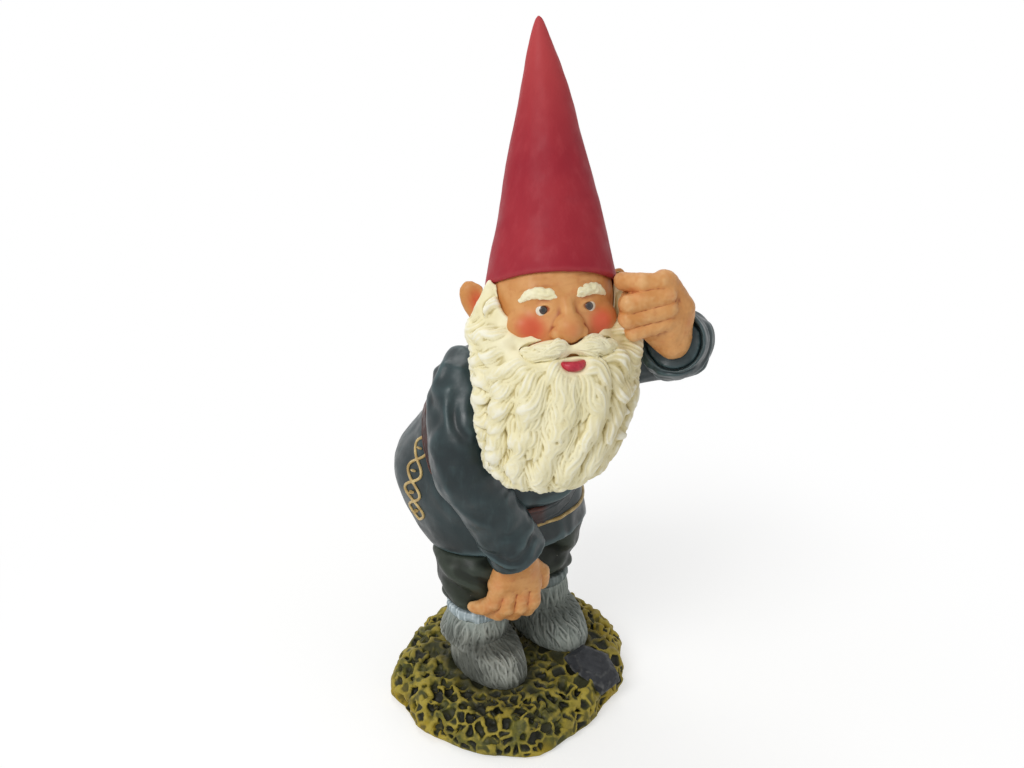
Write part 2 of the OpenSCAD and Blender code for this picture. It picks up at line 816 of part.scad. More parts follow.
module beard_form(grow = 0) {
    w = beard_w / 2;
    t = beard_t / 2;
    rows = [
        [-beard_swing, -15, -beard_len, w * 0.26, t * 0.3],
        [-beard_swing * 0.9, -15, -beard_len * 0.92, w * 0.62, t * 0.6],
        [-beard_swing * 0.65, -14, -beard_len * 0.72, w * 0.81, t * 0.84],
        [-beard_swing * 0.4, -12.5, -beard_len * 0.5, w * 0.92, t * 0.95],
        [-1.2, -11, -head_h * 0.22, w * 0.97, t],
        [-1, -8.5, -head_h * 0.08, w * 0.98, t * 0.95],
        [-0.5, -5, head_h * 0.04, w * 0.97, t * 0.75],
        [-0.3, -3, head_h * 0.15, w * 0.93, 6],
        [0, -2, head_h * 0.26, w * 0.8, 3]
    ];
    steps = 20;
    sides = 4 * lock_count;
    fade = 12;
    rings = level_rings(rows, steps, sides, grow);
    place_turned()
        skin([for (i = [0:steps])
            let (
                c = mean(rings[i]),
                high = lock_h * min(1, max(0, (fade + 4 - i) / 4)),
                sway = lock_sway * sin(360 * i / fade)
            )
            [for (k = [0:sides - 1])
                rings[i][k] + unit(rings[i][k] - c) * high * cos(360 * lock_count * k / sides + sway)]]);
}

module beard() {
    color(beard_cream) difference() {
        beard_form();
        head_form(glue_gap);
        nose(glue_gap);
        moustache_form(glue_gap);
        lip_form(glue_gap);
        coat_form(glue_gap);
        left_sleeve_form(glue_gap);
        right_sleeve_form(glue_gap);
        ear_form(1, glue_gap);
        ear_form(-1, glue_gap);
        hat_form(glue_gap);
    }
}

module moustache_form(grow = 0) {
    y = -head_d / 2 - moustache_t * 0.42;
    z = -head_h * 0.03;
    t = moustache_t / 2;
    l = moustache_len;
    place_turned()
        limb_form([
            [-l, y + l * 0.375, z - l * 0.28, t / 3, t / 3],
            [-l * 0.6, y + l * 0.094, z - l * 0.094, t, t * 0.8],
            [-l * 0.25, y, z, t, t * 0.9],
            [0, y + t * 0.17, z - t * 0.2, t * 0.7, t * 0.7],
            [l * 0.25, y, z, t, t * 0.9],
            [l * 0.6, y + l * 0.094, z - l * 0.094, t, t * 0.8],
            [l, y + l * 0.375, z - l * 0.28, t / 3, t / 3]
        ], 18, 16, grow, [0, 0, 1]);
}

module moustache() {
    color(beard_cream) difference() {
        moustache_form();
        head_form(glue_gap);
        nose(glue_gap);
    }
}

module lip_form(grow = 0) {
    place_turned() translate([0.2, -head_d / 2 - 5.6, -head_h * 0.12])
        limb_form([
            [-3.6, 1.6, 0.4, 0.5, 0.5], [-1.6, 0, -0.2, 1.4, 1.4], [1.6, 0, -0.2, 1.4, 1.4],
            [3.6, 1.6, 0.4, 0.5, 0.5]
        ], 9, 14, grow, [0, 0, 1]);
}

module lower_lip() {
    color(lip_red) difference() {
        lip_form();
        moustache_form(glue_gap);
    }
}

module eyebrow(side) {
    color(beard_cream) difference() {
        place_head() translate([side * head_w * 0.2, -head_d * 0.44, head_h * 0.13])
            limb_form([
                [-side * brow_len * 0.5, -1.4, -0.6, 0.8, 0.6],
                [-side * brow_len * 0.25, -1, 0.6, 1.8, 1.4],
                [side * brow_len * 0.2, 0.8, 0.8, 1.7, 1.3],
                [side * brow_len * 0.5, 3, -1.2, 0.7, 0.6]
            ], 9, 12, 0, [0, 0, 1]);
        head_form(glue_gap);
        hat_form(glue_gap);
    }
}

module left_eyebrow() { eyebrow(1); }
module right_eyebrow() { eyebrow(-1); }

module hat_form(grow = 0) {
    w = hat_w / 2;
    rise = hat_h - hat_rim_up;
    rows = [
        [0.6, 1, hat_rim_up, w, w * 1.05],
        [1.2, 1.4, hat_rim_up + rise * 0.15, w * 0.875, w * 0.945],
        [1.7, 1, hat_rim_up + rise * 0.345, w * 0.7, w * 0.73],
        [1.4 + hat_lean * 0.3, 0.8, hat_rim_up + rise * 0.56, w * 0.515, w * 0.515],
        [1.2 + hat_lean * 0.7, 0.4, hat_rim_up + rise * 0.79, w * 0.295, w * 0.295],
        [hat_lean, 0, hat_rim_up + rise * 0.97, w * 0.09, w * 0.09],
        [hat_lean, 0, hat_h, w * 0.03, w * 0.03]
    ];
    steps = 16;
    fade = 5;
    rings = level_rings(rows, steps, 36, grow);
    place_head()
        skin([for (i = [0:steps])
            [for (p = rings[i])
                p - [0, 0, (rim_rise * p[1] + rim_slant * p[0]) / w * max(0, 1 - i / fade)]]]);
}

module hat() {
    color(hat_red) difference() {
        hat_form();
        head_form(glue_gap);
    }
}

ground_base();
ground_stone();
left_boot();
right_boot();
left_boot_cuff();
right_boot_cuff();
left_leg_rod();
right_leg_rod();
left_trouser_leg();
right_trouser_leg();
coat();
belt();
left_sleeve();
right_sleeve();
left_hand();
right_hand();
head();
left_ear();
right_ear();
hair();
beard();
moustache();
left_eyebrow();
right_eyebrow();
lower_lip();
hat();
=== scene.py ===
import math
import random

import bmesh
import bpy
import numpy as np
from mathutils import Matrix, Vector, bvhtree, kdtree, noise


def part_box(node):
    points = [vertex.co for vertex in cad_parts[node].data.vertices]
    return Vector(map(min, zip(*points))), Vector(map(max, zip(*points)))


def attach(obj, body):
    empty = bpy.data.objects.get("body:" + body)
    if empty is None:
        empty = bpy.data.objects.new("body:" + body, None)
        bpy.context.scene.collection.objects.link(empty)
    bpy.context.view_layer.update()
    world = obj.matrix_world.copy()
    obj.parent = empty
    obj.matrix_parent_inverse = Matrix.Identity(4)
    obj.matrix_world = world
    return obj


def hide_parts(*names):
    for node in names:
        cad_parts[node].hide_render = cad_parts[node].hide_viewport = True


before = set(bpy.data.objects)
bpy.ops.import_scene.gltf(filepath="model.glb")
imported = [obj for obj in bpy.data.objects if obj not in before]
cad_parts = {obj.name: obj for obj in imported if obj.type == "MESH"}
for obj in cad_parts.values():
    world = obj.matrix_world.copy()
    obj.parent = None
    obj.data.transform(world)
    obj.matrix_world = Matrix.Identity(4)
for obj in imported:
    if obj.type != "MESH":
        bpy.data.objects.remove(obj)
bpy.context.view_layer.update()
scene = bpy.context.scene
mm = 0.001
sides = ("left", "right")

# places of the figure as the part has them, in millimetres and radians
headMiddle = np.array((3.5, -19.0, 147.0))
faceTurn = math.radians(22)
faceTilt = math.radians(18)
hemHeight = 59.0  # middle of the coat's hem
groundTop = 13.0


class Nodes:
    # strings the nodes of one shader together

    def __init__(self, owner, bare=False):
        owner.use_nodes = True
        self.tree = owner.node_tree
        if bare:
            self.tree.nodes.clear()
        self.place = self.node("TexCoord").outputs["Object"]

    def feed(self, socket, value):
        if hasattr(value, "links"):
            self.tree.links.new(value, socket)
        else:
            socket.default_value = value

    def node(self, kind, inputs=None, **settings):
        made = self.tree.nodes.new("ShaderNode" + kind)
        for name, value in settings.items():
            setattr(made, name, value)
        for socket, value in (inputs or {}).items():
            self.feed(made.inputs[socket], value)
        return made

    def step(self, value, low, high, start=0.0, end=1.0):
        limits = {"Value": value, "From Min": low, "From Max": high, "To Min": start, "To Max": end}
        return self.node("MapRange", limits, interpolation_type="SMOOTHSTEP").outputs[0]

    def math(self, what, a, b):
        return self.node("Math", {0: a, 1: b}, operation=what).outputs[0]

    def mix(self, share, a, b):
        return self.node("Mix", {"Factor": share, 6: a, 7: b}, data_type="RGBA").outputs[2]

    def seen(self):
        # 1 for the rays that show the background, 0 for the rays that light the object
        rays = self.node("LightPath").outputs
        direct = self.math("MAXIMUM", rays["Is Camera Ray"], rays["Is Glossy Ray"])
        return self.math("MAXIMUM", direct, rays["Is Transmission Ray"])

    def blend(self, share, a, b, out):
        mixed = self.node("MixShader", {0: share, 1: a.outputs[0], 2: b.outputs[0]})
        self.node(out, {0: mixed.outputs[0]})

    def source(self, what):
        if isinstance(what, str):
            return self.node("Attribute", attribute_name=what).outputs["Fac"]
        if isinstance(what, list):
            first, second = (self.step(self.source(part), *limits) for part, *limits in what)
            return self.math("MULTIPLY", first, second)
        if isinstance(what, tuple):
            size, detail, *stretch = what
            place = self.place
            if stretch:
                drawn = {"Vector": place, "Scale": (1.0, 1.0, stretch[0])}
                place = self.node("Mapping", drawn).outputs[0]
            cloud = {"Vector": place, "Scale": 1 / (size * mm), "Detail": detail, "Roughness": 0.55}
            return self.node("TexNoise", cloud).outputs["Fac"]
        cells = {"Vector": self.place, "Scale": 1 / (what * mm)}
        return self.node("TexVoronoi", cells).outputs["Distance"]


# camera, floor and light

view = {
    "target": (4.2, 2.0, 114.5),  # what the lens points at
    "distance": 411.0,
    "azimuth": -35.0,
    "elevation": 26.5,
    "sensor": 36.0,
    "focal": 36.0 * 1300 / 1024,  # 1300 px of focal length on a 1024 px picture
    "clip": (0.01, 30.0),
}


def placeCamera():
    az = math.radians(view["azimuth"])
    el = math.radians(view["elevation"])
    way = Vector((math.sin(az) * math.cos(el), -math.cos(az) * math.cos(el), math.sin(el)))
    data = bpy.data.cameras.new("photoCamera")
    data.sensor_width = view["sensor"]
    data.lens = view["focal"]
    data.clip_start, data.clip_end = view["clip"]
    cam = bpy.data.objects.new("photoCamera", data)
    cam.location = (Vector(view["target"]) + way * view["distance"]) * mm
    cam.rotation_euler = way.to_track_quat("Z", "Y").to_euler()
    scene.collection.objects.link(cam)
    scene.camera = cam


studio = {  # in metres
    "floorSize": 6.0,
    "floorColour": (0.86, 0.86, 0.85, 1),
    "floorSeen": (1.2, 1.2, 1.18, 1),  # the camera sees the floor brighter than it lights the object
    "floorGlow": (0.52, 1.0),  # share of plain white on the floor, near the object and far from it
    "glowReach": (0.07, 0.22),
    "worldLight": 0.42,
    "lamps": {  # power, size and place
        "keyLamp": (6.4, 0.55, (-0.85, -0.3, 0.9)),
        "fillLamp": (0.7, 0.8, (0.55, -0.95, 0.45)),
        "topLamp": (2.0, 0.5, (0.1, 0.45, 0.95)),
    },
}


def areaLamp(name, power, size, place):
    data = bpy.data.lights.new(name, "AREA")
    data.energy = power
    data.shape = "DISK"
    data.size = size
    lamp = bpy.data.objects.new(name, data)
    lamp.location = place
    way = Vector(place) - Vector(view["target"]) * mm
    lamp.rotation_euler = way.to_track_quat("Z", "Y").to_euler()
    scene.collection.objects.link(lamp)


def buildStudio():
    bm = bmesh.new()
    bmesh.ops.create_grid(bm, x_segments=1, y_segments=1, size=studio["floorSize"] / 2)
    floor = asObject("studioFloor", bm)
    paper = bpy.data.materials.new("paperFloor")
    n = Nodes(paper, True)
    seen = n.seen()
    tone = n.mix(seen, studio["floorColour"], studio["floorSeen"])
    away = n.node("VectorMath", {0: n.place}, operation="LENGTH").outputs["Value"]
    glow = n.math("MULTIPLY", seen, n.step(away, *studio["glowReach"], *studio["floorGlow"]))
    n.blend(glow, n.node("BsdfDiffuse", {"Color": tone}), n.node("Emission"), "OutputMaterial")
    floor.data.materials.append(paper)

    scene.world = bpy.data.worlds.new("studioWorld")
    n = Nodes(scene.world, True)
    white = {"Color": (1, 1, 1, 1)}
    light = n.node("Background", {**white, "Strength": studio["worldLight"]})
    n.blend(n.seen(), light, n.node("Background", white), "OutputWorld")
    for name, lamp in studio["lamps"].items():
        areaLamp(name, *lamp)
    scene.view_settings.view_transform = "Standard"


# mesh tools, which read and write millimetres

def coords(mesh):
    co = np.empty(len(mesh.vertices) * 3, np.float32)
    mesh.vertices.foreach_get("co", co)
    return co.reshape(-1, 3).astype(float) / mm


def setCoords(mesh, co):
    mesh.vertices.foreach_set("co", (co * mm).astype(np.float32).ravel())
    mesh.update()


def normals(mesh):
    n = np.empty(len(mesh.vertices) * 3, np.float32)
    mesh.vertex_normals.foreach_get("vector", n)
    return n.reshape(-1, 3).astype(float)


def averaged(mesh, values, rounds, share=1.0):
    # each round moves a vertex's value towards the mean of its neighbours
    pairs = np.empty(len(mesh.edges) * 2, np.int32)
    mesh.edges.foreach_get("vertices", pairs)
    pairs = pairs.reshape(-1, 2)
    ends = np.concatenate((pairs[:, 0], pairs[:, 1]))
    others = np.concatenate((pairs[:, 1], pairs[:, 0]))
    n = len(values)
    count = np.maximum(np.bincount(ends, minlength=n), 1)
    for _ in range(rounds):
        sums = [np.bincount(ends, weights=column[others], minlength=n) for column in values.T]
        values = values + share * (np.stack(sums, 1) / count[:, None] - values)
    return values


def push(mesh, height):
    # moves each vertex along its normal
    setCoords(mesh, coords(mesh) + normals(mesh) * height[:, None])


def storeFloat(mesh, name, values):
    layer = mesh.attributes.new(name, "FLOAT", "POINT")
    layer.data.foreach_set("value", values.astype(np.float32))


def hollowness(mesh, rounds):
    # depth of each vertex under its averaged surroundings
    co = coords(mesh)
    return ((averaged(mesh, co, rounds) - co) * normals(mesh)).sum(1)


def storeRelief(mesh, rounds, depth):
    # 0.5 is level ground, 1 the bottom of a groove, 0 the top of a ridge
    storeFloat(mesh, "relief", np.clip(0.5 + hollowness(mesh, rounds) / depth / 2, 0, 1))


def lumps(co, size, seed):
    # smooth noise between -1 and 1 with bumps of about the given size
    return np.array([noise.noise((x, y, z)) for x, y, z in (co / size + seed).tolist()])


def uneven(co, rows):
    # lumps of several kinds, each with its size, seed and height
    return sum(lumps(co, size, seed) * height for size, seed, height in rows)


def waves(co, size, seeds):
    return np.stack([lumps(co, size, seed) for seed in seeds], 1)


def drape(angle, up, around, rise, seed):
    # folds that hang down all round an upright axis
    return lumps(np.stack((np.cos(angle) * around, np.sin(angle) * around, up * rise), 1), 1.0, seed)


def ramp(low, high, x):
    t = np.clip((x - low) / (high - low), 0, 1)
    return t * t * (3 - 2 * t)


def hump(x, middle, width):
    # 1 in the middle, falling off softly to both sides
    return np.exp(-((x - middle) / width) ** 2)


def band(x, row):
    # soft band with its height, middle and width
    height, *place = row
    return height * hump(x, *place)


def dab(co, middle, radius):
    # soft round brush
    return hump(np.linalg.norm(co - middle, axis=1), 0, radius)


def nearLine(co, line):
    # distance of each vertex from a line of points
    best = np.full(len(co), 1e9)
    for a, b in zip(line[:-1], line[1:]):
        way = b - a
        t = np.clip((co - a) @ way / (way @ way), 0, 1)
        best = np.minimum(best, np.linalg.norm(co - a - t[:, None] * way, axis=1))
    return best


def asObject(name, bm):
    mesh = bpy.data.meshes.new(name)
    bm.to_mesh(mesh)
    bm.free()
    obj = bpy.data.objects.new(name, mesh)
    scene.collection.objects.link(obj)
    return obj


def evaluatedMesh(obj):
    graph = bpy.context.evaluated_depsgraph_get()
    return bpy.data.meshes.new_from_object(obj.evaluated_get(graph), depsgraph=graph)


def applied(obj):
    # takes the modifiers into the mesh
    mesh = evaluatedMesh(obj)
    old = obj.data
    obj.modifiers.clear()
    obj.data = mesh
    bpy.data.meshes.remove(old)
    mesh.name = obj.name


def nodeCopy(node):
    bm = bmesh.new()
    bm.from_mesh(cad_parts[node].data)
    bmesh.ops.remove_doubles(bm, verts=bm.verts, dist=0.002 * mm)
    return bm


def clay(name, bm, skin):
    # one closed skin over everything in the bmesh, with its facets rubbed down
    voxel, relax = skin
    obj = asObject(name, bm)
    remesh = obj.modifiers.new("skin", "REMESH")
    remesh.mode = "VOXEL"
    remesh.voxel_size = voxel * mm
    applied(obj)
    setCoords(obj.data, averaged(obj.data, coords(obj.data), relax, 0.5))
    return obj


def grown(name, node, skin):
    # a skin over a node's solid, with its mesh and the places of its vertices
    obj = clay(name, nodeCopy(node), skin)
    return obj, obj.data, coords(obj.data)


def addStrands(bm, paths):
    # round strands along lists of points, each with a radius at every point
    curve = bpy.data.curves.new("strands", "CURVE")
    curve.dimensions = "3D"
    curve.bevel_depth = mm
    curve.bevel_resolution = 1
    curve.use_fill_caps = True
    for points, radii in paths:
        spline = curve.splines.new("POLY")
        spline.points.add(len(points) - 1)
        for spot, point, radius in zip(spline.points, points, radii):
            spot.co = (*(float(c) * mm for c in point), 1)
            spot.radius = radius
    holder = bpy.data.objects.new("strands", curve)
    scene.collection.objects.link(holder)
    mesh = evaluatedMesh(holder)
    bm.from_mesh(mesh)
    bpy.data.objects.remove(holder)
    bpy.data.curves.remove(curve)
    bpy.data.meshes.remove(mesh)


def addBall(bm, middle, radii, segments=24):
    made = bmesh.ops.create_uvsphere(bm, u_segments=segments, v_segments=segments // 2, radius=mm)
    bmesh.ops.scale(bm, vec=radii, verts=made["verts"])
    bmesh.ops.translate(bm, vec=Vector(middle) * mm, verts=made["verts"])


def treeOf(mesh):
    faces = [p.vertices[:] for p in mesh.polygons]
    return bvhtree.BVHTree.FromPolygons(coords(mesh).tolist(), faces)


def smoothTree(node, skin):
    obj = clay("tracingForm", nodeCopy(node), skin)
    mesh = obj.data
    tree = treeOf(mesh)
    bpy.data.objects.remove(obj)
    bpy.data.meshes.remove(mesh)
    return tree


def trace(tree, start, flow, length, steps, swing, phase, curl):
    # walks over a surface along a flow, swinging from side to side
    trail = []
    point = np.asarray(start, float)
    for i in range(steps + 1):
        spot, normal = tree.find_nearest(point.tolist())[:2]
        point = np.array(spot)
        n = np.array(normal)
        way = flow(point)
        way = way - n * (way @ n)
        way /= max(np.linalg.norm(way), 1e-6)
        turn = swing * math.sin(phase + curl * i / steps)
        way = way * math.cos(turn) + np.cross(n, way) * math.sin(turn)
        trail.append((point, way, np.cross(n, way)))
        point = point + way * length / steps
    return trail


def lockAt(picker, tree, spot, flow, lock, lean=1.0, stretch=1.0, tilt=0.0):
    # one lock of hair: its trail, width, lift off the surface and tilt of the tip
    length = picker.uniform(*lock["length"]) * stretch
    swing = picker.uniform(*lock["swing"]) * lean
    phase = picker.uniform(*lock["phase"])
    trail = trace(tree, spot, flow, length, lock["steps"], swing, phase, lock["curl"])
    width = picker.uniform(*lock["width"])
    lift = picker.uniform(*lock["lift"])
    return trail, width, lift, lock["tilt"] + tilt


def carve(mesh, locks, shape, mask=1.0):
    # models overlapping locks with pointed tips on a surface, each with fine lines along it
    rows = []
    for trail, width, lift, tilt in locks:
        last = len(trail) - 1
        step = max(np.linalg.norm(trail[1][0] - trail[0][0]), 0.1)
        for i, (point, way, side) in enumerate(trail):
            rows.append((*point, *way, *side, i / last, width, lift, tilt, step, step * last))
    tree = kdtree.KDTree(len(rows))
    for k, row in enumerate(rows):
        tree.insert(row[:3], k)
    tree.balance()
    co = coords(mesh)
    near = np.array([[hit[1] for hit in tree.find_n(spot, shape["reach"])] for spot in co.tolist()])
    rows = np.array(rows)[near]
    away = co[:, None, :] - rows[..., 0:3]
    along = (away * rows[..., 3:6]).sum(2)
    across = (away * rows[..., 6:9]).sum(2)
    share, width, lift, tilt, step, length = np.moveaxis(rows[..., 9:15], 2, 0)
    t = np.clip(share + along / length, 0, 1)
    taper = np.sin(np.pi * (0.16 + 0.84 * t)) ** 0.7  # a blunt root and a pointed tip
    q = across / (width * np.maximum(taper, 0.05))
    bulge = np.clip(1 - q * q, 0, 1) ** 0.7
    lines = np.cos(q * np.pi * shape["strands"]) * shape["lineDepth"] * taper
    value = lift + tilt * (t - 0.5) + shape["height"] * bulge * taper + lines
    inside = (np.abs(q) < 1) & (np.abs(along) < step * 0.9)
    height = np.where(inside, value, -shape["floor"]).max(1)
    height = np.maximum(height, averaged(mesh, height[:, None], 16)[:, 0] - shape["hole"])
    push(mesh, averaged(mesh, height[:, None], 1, 0.4)[:, 0] * mask)


def seat(mesh, neighbour, reach, sink):
    # draws the rim next to a neighbour onto it, so that no dark gap is left
    co = coords(mesh)
    for i, point in enumerate(co):
        spot, normal, _, distance = neighbour.find_nearest(point.tolist(), reach)
        if spot is not None:
            share = 1 - distance / reach
            co[i] = point + (np.array(spot) - point) * share - np.array(normal) * sink * share
    setCoords(mesh, co)


def turnedMatrix(tilt):
    # turn of the face about the upright, after a tilt of the face upwards
    return np.array(Matrix.Rotation(-faceTurn, 3, "Z") @ Matrix.Rotation(-tilt, 3, "X"))


headFrame = turnedMatrix(faceTilt)
beardFrame = turnedMatrix(0.0)


def onHead(x, y, z):
    return headMiddle + headFrame @ (x, y, z)


def onBeard(x, y, z):
    return headMiddle + beardFrame @ (x, y, z)


# paint
# A paint has two tones and washes over them. A wash has a source, the values between which it fades in,
# its share and its colour; without the values its source is used as it is. A source is an attribute's
# name, the size of cells, the product of a list of steps, or a cloud's size, detail and upright stretch.
# In the relief a groove is above 0.5 and a ridge below it. Bumps have a source, a depth and a strength.

paints = {
    "hatPaint": {
        "shine": 0.16, "rough": (5, 0.46, 0.62),
        "tones": ((26, 2), 0.35, 0.68, "982432", "a6303a"),
        "washes": (
            ((3.2, 4, 0.12), 0.45, 0.8, 0.4, "b2424a"),
            ((9, 3), 0.55, 0.8, 0.35, "842030"),
            ("tip", 0.75, "bc4848"),
            ("relief", 0.42, 0.1, 0.3, "ba5054"),
            ("relief", 0.58, 0.9, 1.0, "641422"),
        ),
        "bumps": (((2.0, 4, 0.25), 0.12, 0.5), ((0.35, 2), 0.03, 0.5)),
    },
    "coatPaint": {
        "shine": 0.36, "varnish": 0.08, "rough": (4, 0.3, 0.5),
        "tones": ((22, 3), 0.35, 0.65, "142225", "223437"),
        "washes": (
            ((2.6, 5, 0.3), 0.5, 0.8, 0.4, "3a4e50"),
            ((6, 3), 0.56, 0.78, 0.5, "172321"),
            # painted shade towards the coat's hem
            ("hem", 0.6, "121816"),
            ("relief", 0.44, 0.12, 0.6, "506669"),
            ("relief", 0.55, 0.82, 1.0, "0b1010"),
            (2.2, 0.05, 0.02, 0.3, "828a86"),
        ),
        "bumps": (((1.6, 4), 0.12, 0.45), ((0.3, 2), 0.025, 0.5)),
    },
    "trouserPaint": {
        "shine": 0.22, "varnish": 0.05, "rough": (4, 0.4, 0.58),
        "tones": ((12, 3), 0.35, 0.65, "1b201b", "292f25"),
        "washes": (
            ((3, 4), 0.52, 0.8, 0.5, "30372d"),
            ("relief", 0.46, 0.2, 0.6, "424a40"),
            ("relief", 0.54, 0.85, 1.0, "0a0c0b"),
            (3.4, 0.07, 0.03, 0.7, "8c8e80"),
        ),
        "bumps": (((1.4, 4), 0.12, 0.5), ((0.3, 2), 0.03, 0.5)),
    },
    "skinPaint": {
        "shine": 0.32, "rough": (3, 0.42, 0.58),
        "tones": ((9, 3), 0.35, 0.68, "ce8e50", "dea468"),
        "washes": (
            ((2.4, 4), 0.52, 0.8, 0.45, "c47042"),
            ("blush", 0.05, 0.9, 0.9, "d85a3e"),
            ("relief", 0.46, 0.2, 0.5, "eabe86"),
            ("relief", 0.51, 0.72, 0.9, "9c4a2a"),
            (1.5, 0.06, 0.03, 0.35, "844e2c"),
        ),
        "bumps": (((0.9, 4), 0.08, 0.5), ((0.25, 2), 0.02, 0.5)),
    },
    "beardPaint": {
        "shine": 0.25, "rough": (3, 0.46, 0.62),
        "tones": ((10, 3), 0.35, 0.7, "f2e9be", "faf3d0"),
        "washes": (
            ((4, 3), 0.55, 0.8, 0.4, "e4d69e"),
            # painted shade and stain towards one side of the beard
            ("wash", 0.6, "d4c492"),
            ("relief", 0.51, 0.78, 0.75, "c0af74"),
            ("relief", 0.78, 1.0, 0.8, "887746"),
            ("relief", 0.44, 0.1, 0.8, "fdfae8"),
            (2.1, 0.05, 0.02, 0.6, "887746"),
        ),
        "bumps": (((0.7, 3), 0.07, 0.5),),
    },
    "furPaint": {
        "shine": 0.25, "rough": (3, 0.5, 0.7),
        "tones": ((9, 3), 0.38, 0.62, "646760", "94978e"),
        "washes": (
            # pale frost paint at the top of the boots, and painted light all over the left boot
            ("frost", 0.7, "98a29c"),
            ("relief", 0.5, 0.2, 0.7, "bcbfb7"),
            ("relief", 0.5, 0.74, 0.65, "363934"),
            ("shade", 0.7, "363933"),
        ),
        "bumps": (((0.4, 3), 0.06, 0.5),),
    },
    "cuffPaint": {
        "rough": (3, 0.5, 0.66),
        "tones": ((5, 3), 0.35, 0.65, "86969c", "a6b4b8"),
        "washes": (
            ("relief", 0.53, 0.8, 1.0, "46545a"),
            ((1.6, 3), 0.56, 0.78, 0.7, "6e7c7e"),
            ("relief", 0.46, 0.2, 1.0, "cedade"),
            ("shade", 0.7, "545c52"),
        ),
        "bumps": (((0.5, 3), 0.08, 0.5),),
    },
    "mossPaint": {
        "shine": 0.2, "rough": (3, 0.42, 0.62),
        "tones": ((15, 3), 0.42, 0.66, "68662a", "98862c"),
        "washes": (
            ((4, 4), 0.4, 0.6, 0.9, "424626"),
            ("rim", 0.8, "b29624"),
            ("pit", 0.05, 0.5, 1.0, "424224"),
            ("pit", 0.3, 0.85, 1.0, "1e1f16"),
            ([("relief", 0.42, 0.15), ((6, 3), 0.35, 0.6, 0.1, 0.9)], 1.0, "b09e42"),
            ("shade", 0.8, "2a2b20"),
            ((1.3, 3), 0.56, 0.76, 0.6, "3c3e28"),
        ),
        "bumps": (((0.9, 4), 0.2, 0.6),),
    },
    "stonePaint": {
        "rough": (2, 0.5, 0.72),
        "tones": ((6, 4), 0.35, 0.68, "222428", "323438"),
        "washes": (
            ((1.4, 4), 0.55, 0.8, 0.4, "424446"),
            ("relief", 0.45, 0.15, 0.7, "606160"),
            ("relief", 0.54, 0.85, 1.0, "222220"),
        ),
        "bumps": (((0.8, 5), 0.2, 0.6),),
    },
    "beltPaint": {
        "varnish": 0.1, "rough": (2, 0.36, 0.56),
        "tones": ((6, 3), 0.35, 0.66, "321814", "48221c"),
        "washes": (
            ("relief", 0.46, 0.2, 1.0, "683a2c"),
            ("relief", 0.54, 0.85, 1.0, "1e0e0c"),
            ("shade", 0.95, "1c292b"),
        ),
        "bumps": ((0.8, 0.08, 0.5), ((1.2, 3), 0.1, 0.5)),
    },
    "goldPaint": {
        "varnish": 0.15, "rough": (1.2, 0.34, 0.5),
        "tones": ((3, 3), 0.35, 0.68, "ac8e54", "d6bc80"),
        "washes": (((0.9, 3), 0.58, 0.8, 0.6, "705834"),),
        "bumps": (((0.4, 3), 0.05, 0.5),),
    },
    "lipPaint": {
        "varnish": 0.2, "rough": (1, 0.32, 0.46),
        "tones": ((2, 3), 0.35, 0.68, "b02438", "c83a4a"),
        "washes": (("relief", 0.54, 0.85, 1.0, "68121e"),),
        "bumps": (((0.5, 3), 0.05, 0.4),),
    },
    "eyePaint": {
        "shine": 0.5, "varnish": 0.4, "rough": 0.2,
        "tones": ((1.5, 2), "e2d8c4", "eee8d8"),
        "washes": (
            ("turn", 0.6, 0.52, 1.0, "3a281c"),
            ("turn", 0.3, 0.24, 1.0, "100c0a"),
        ),
    },
    "rodSteel": {
        "shine": 0.5, "metal": 1.0, "rough": 0.5,
        "tones": ((1.2, 3, 0.1), "96989c", "c4c6ca"),
    },
}


def rgb(code):
    # a screen's hex colour, to the linear values that a shader takes
    def linear(c):
        c /= 255
        return c / 12.92 if c <= 0.04045 else ((c + 0.055) / 1.055) ** 2.4
    return (*(linear(c) for c in bytes.fromhex(code)), 1.0)


def painted(name):
    if name in bpy.data.materials:
        return bpy.data.materials[name]
    look = paints[name]
    material = bpy.data.materials.new(name)
    p = Nodes(material)
    source, *limits, dark, light = look["tones"]
    patch = p.source(source)
    tone = p.mix(p.step(patch, *limits) if limits else patch, rgb(dark), rgb(light))
    for source, *limits, share, colour in look.get("washes", ()):
        patch = p.source(source)
        patch = p.step(patch, *limits, 0.0, share) if limits else p.math("MULTIPLY", patch, share)
        tone = p.mix(patch, tone, rgb(colour))
    rough = look["rough"]
    if isinstance(rough, tuple):
        size, low, high = rough
        rough = p.step(p.source((size, 3)), 0.3, 0.75, low, high)
    surface = {
        "Base Color": tone,
        "Roughness": rough,
        "Specular IOR Level": look.get("shine", 0.3),
        "Coat Weight": look.get("varnish", 0.0),
        "Coat Roughness": 0.32,
        "Metallic": look.get("metal", 0.0),
    }
    for source, depth, strength in look.get("bumps", ()):
        bump = {"Height": p.source(source), "Distance": depth * mm, "Strength": strength}
        if "Normal" in surface:
            bump["Normal"] = surface["Normal"]
        surface["Normal"] = p.node("Bump", bump).outputs[0]
    shader = p.tree.nodes["Principled BSDF"]
    for socket, value in surface.items():
        p.feed(shader.inputs[socket], value)
    return material


def dress(obj, node, paint, relief=None):
    if relief:
        storeRelief(obj.data, *relief)
    obj.data.materials.append(painted(paint))
    obj.data.shade_smooth()
    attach(obj, "root")
    if node:
        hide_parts(node)
    print("piece", obj.name, len(obj.data.polygons), "faces")


# ground base and stone
# The skin has its voxel and rounds of smoothing, lumps have a size, a seed and a height, and the relief
# that the paint reads has its rounds of averaging and its depth.

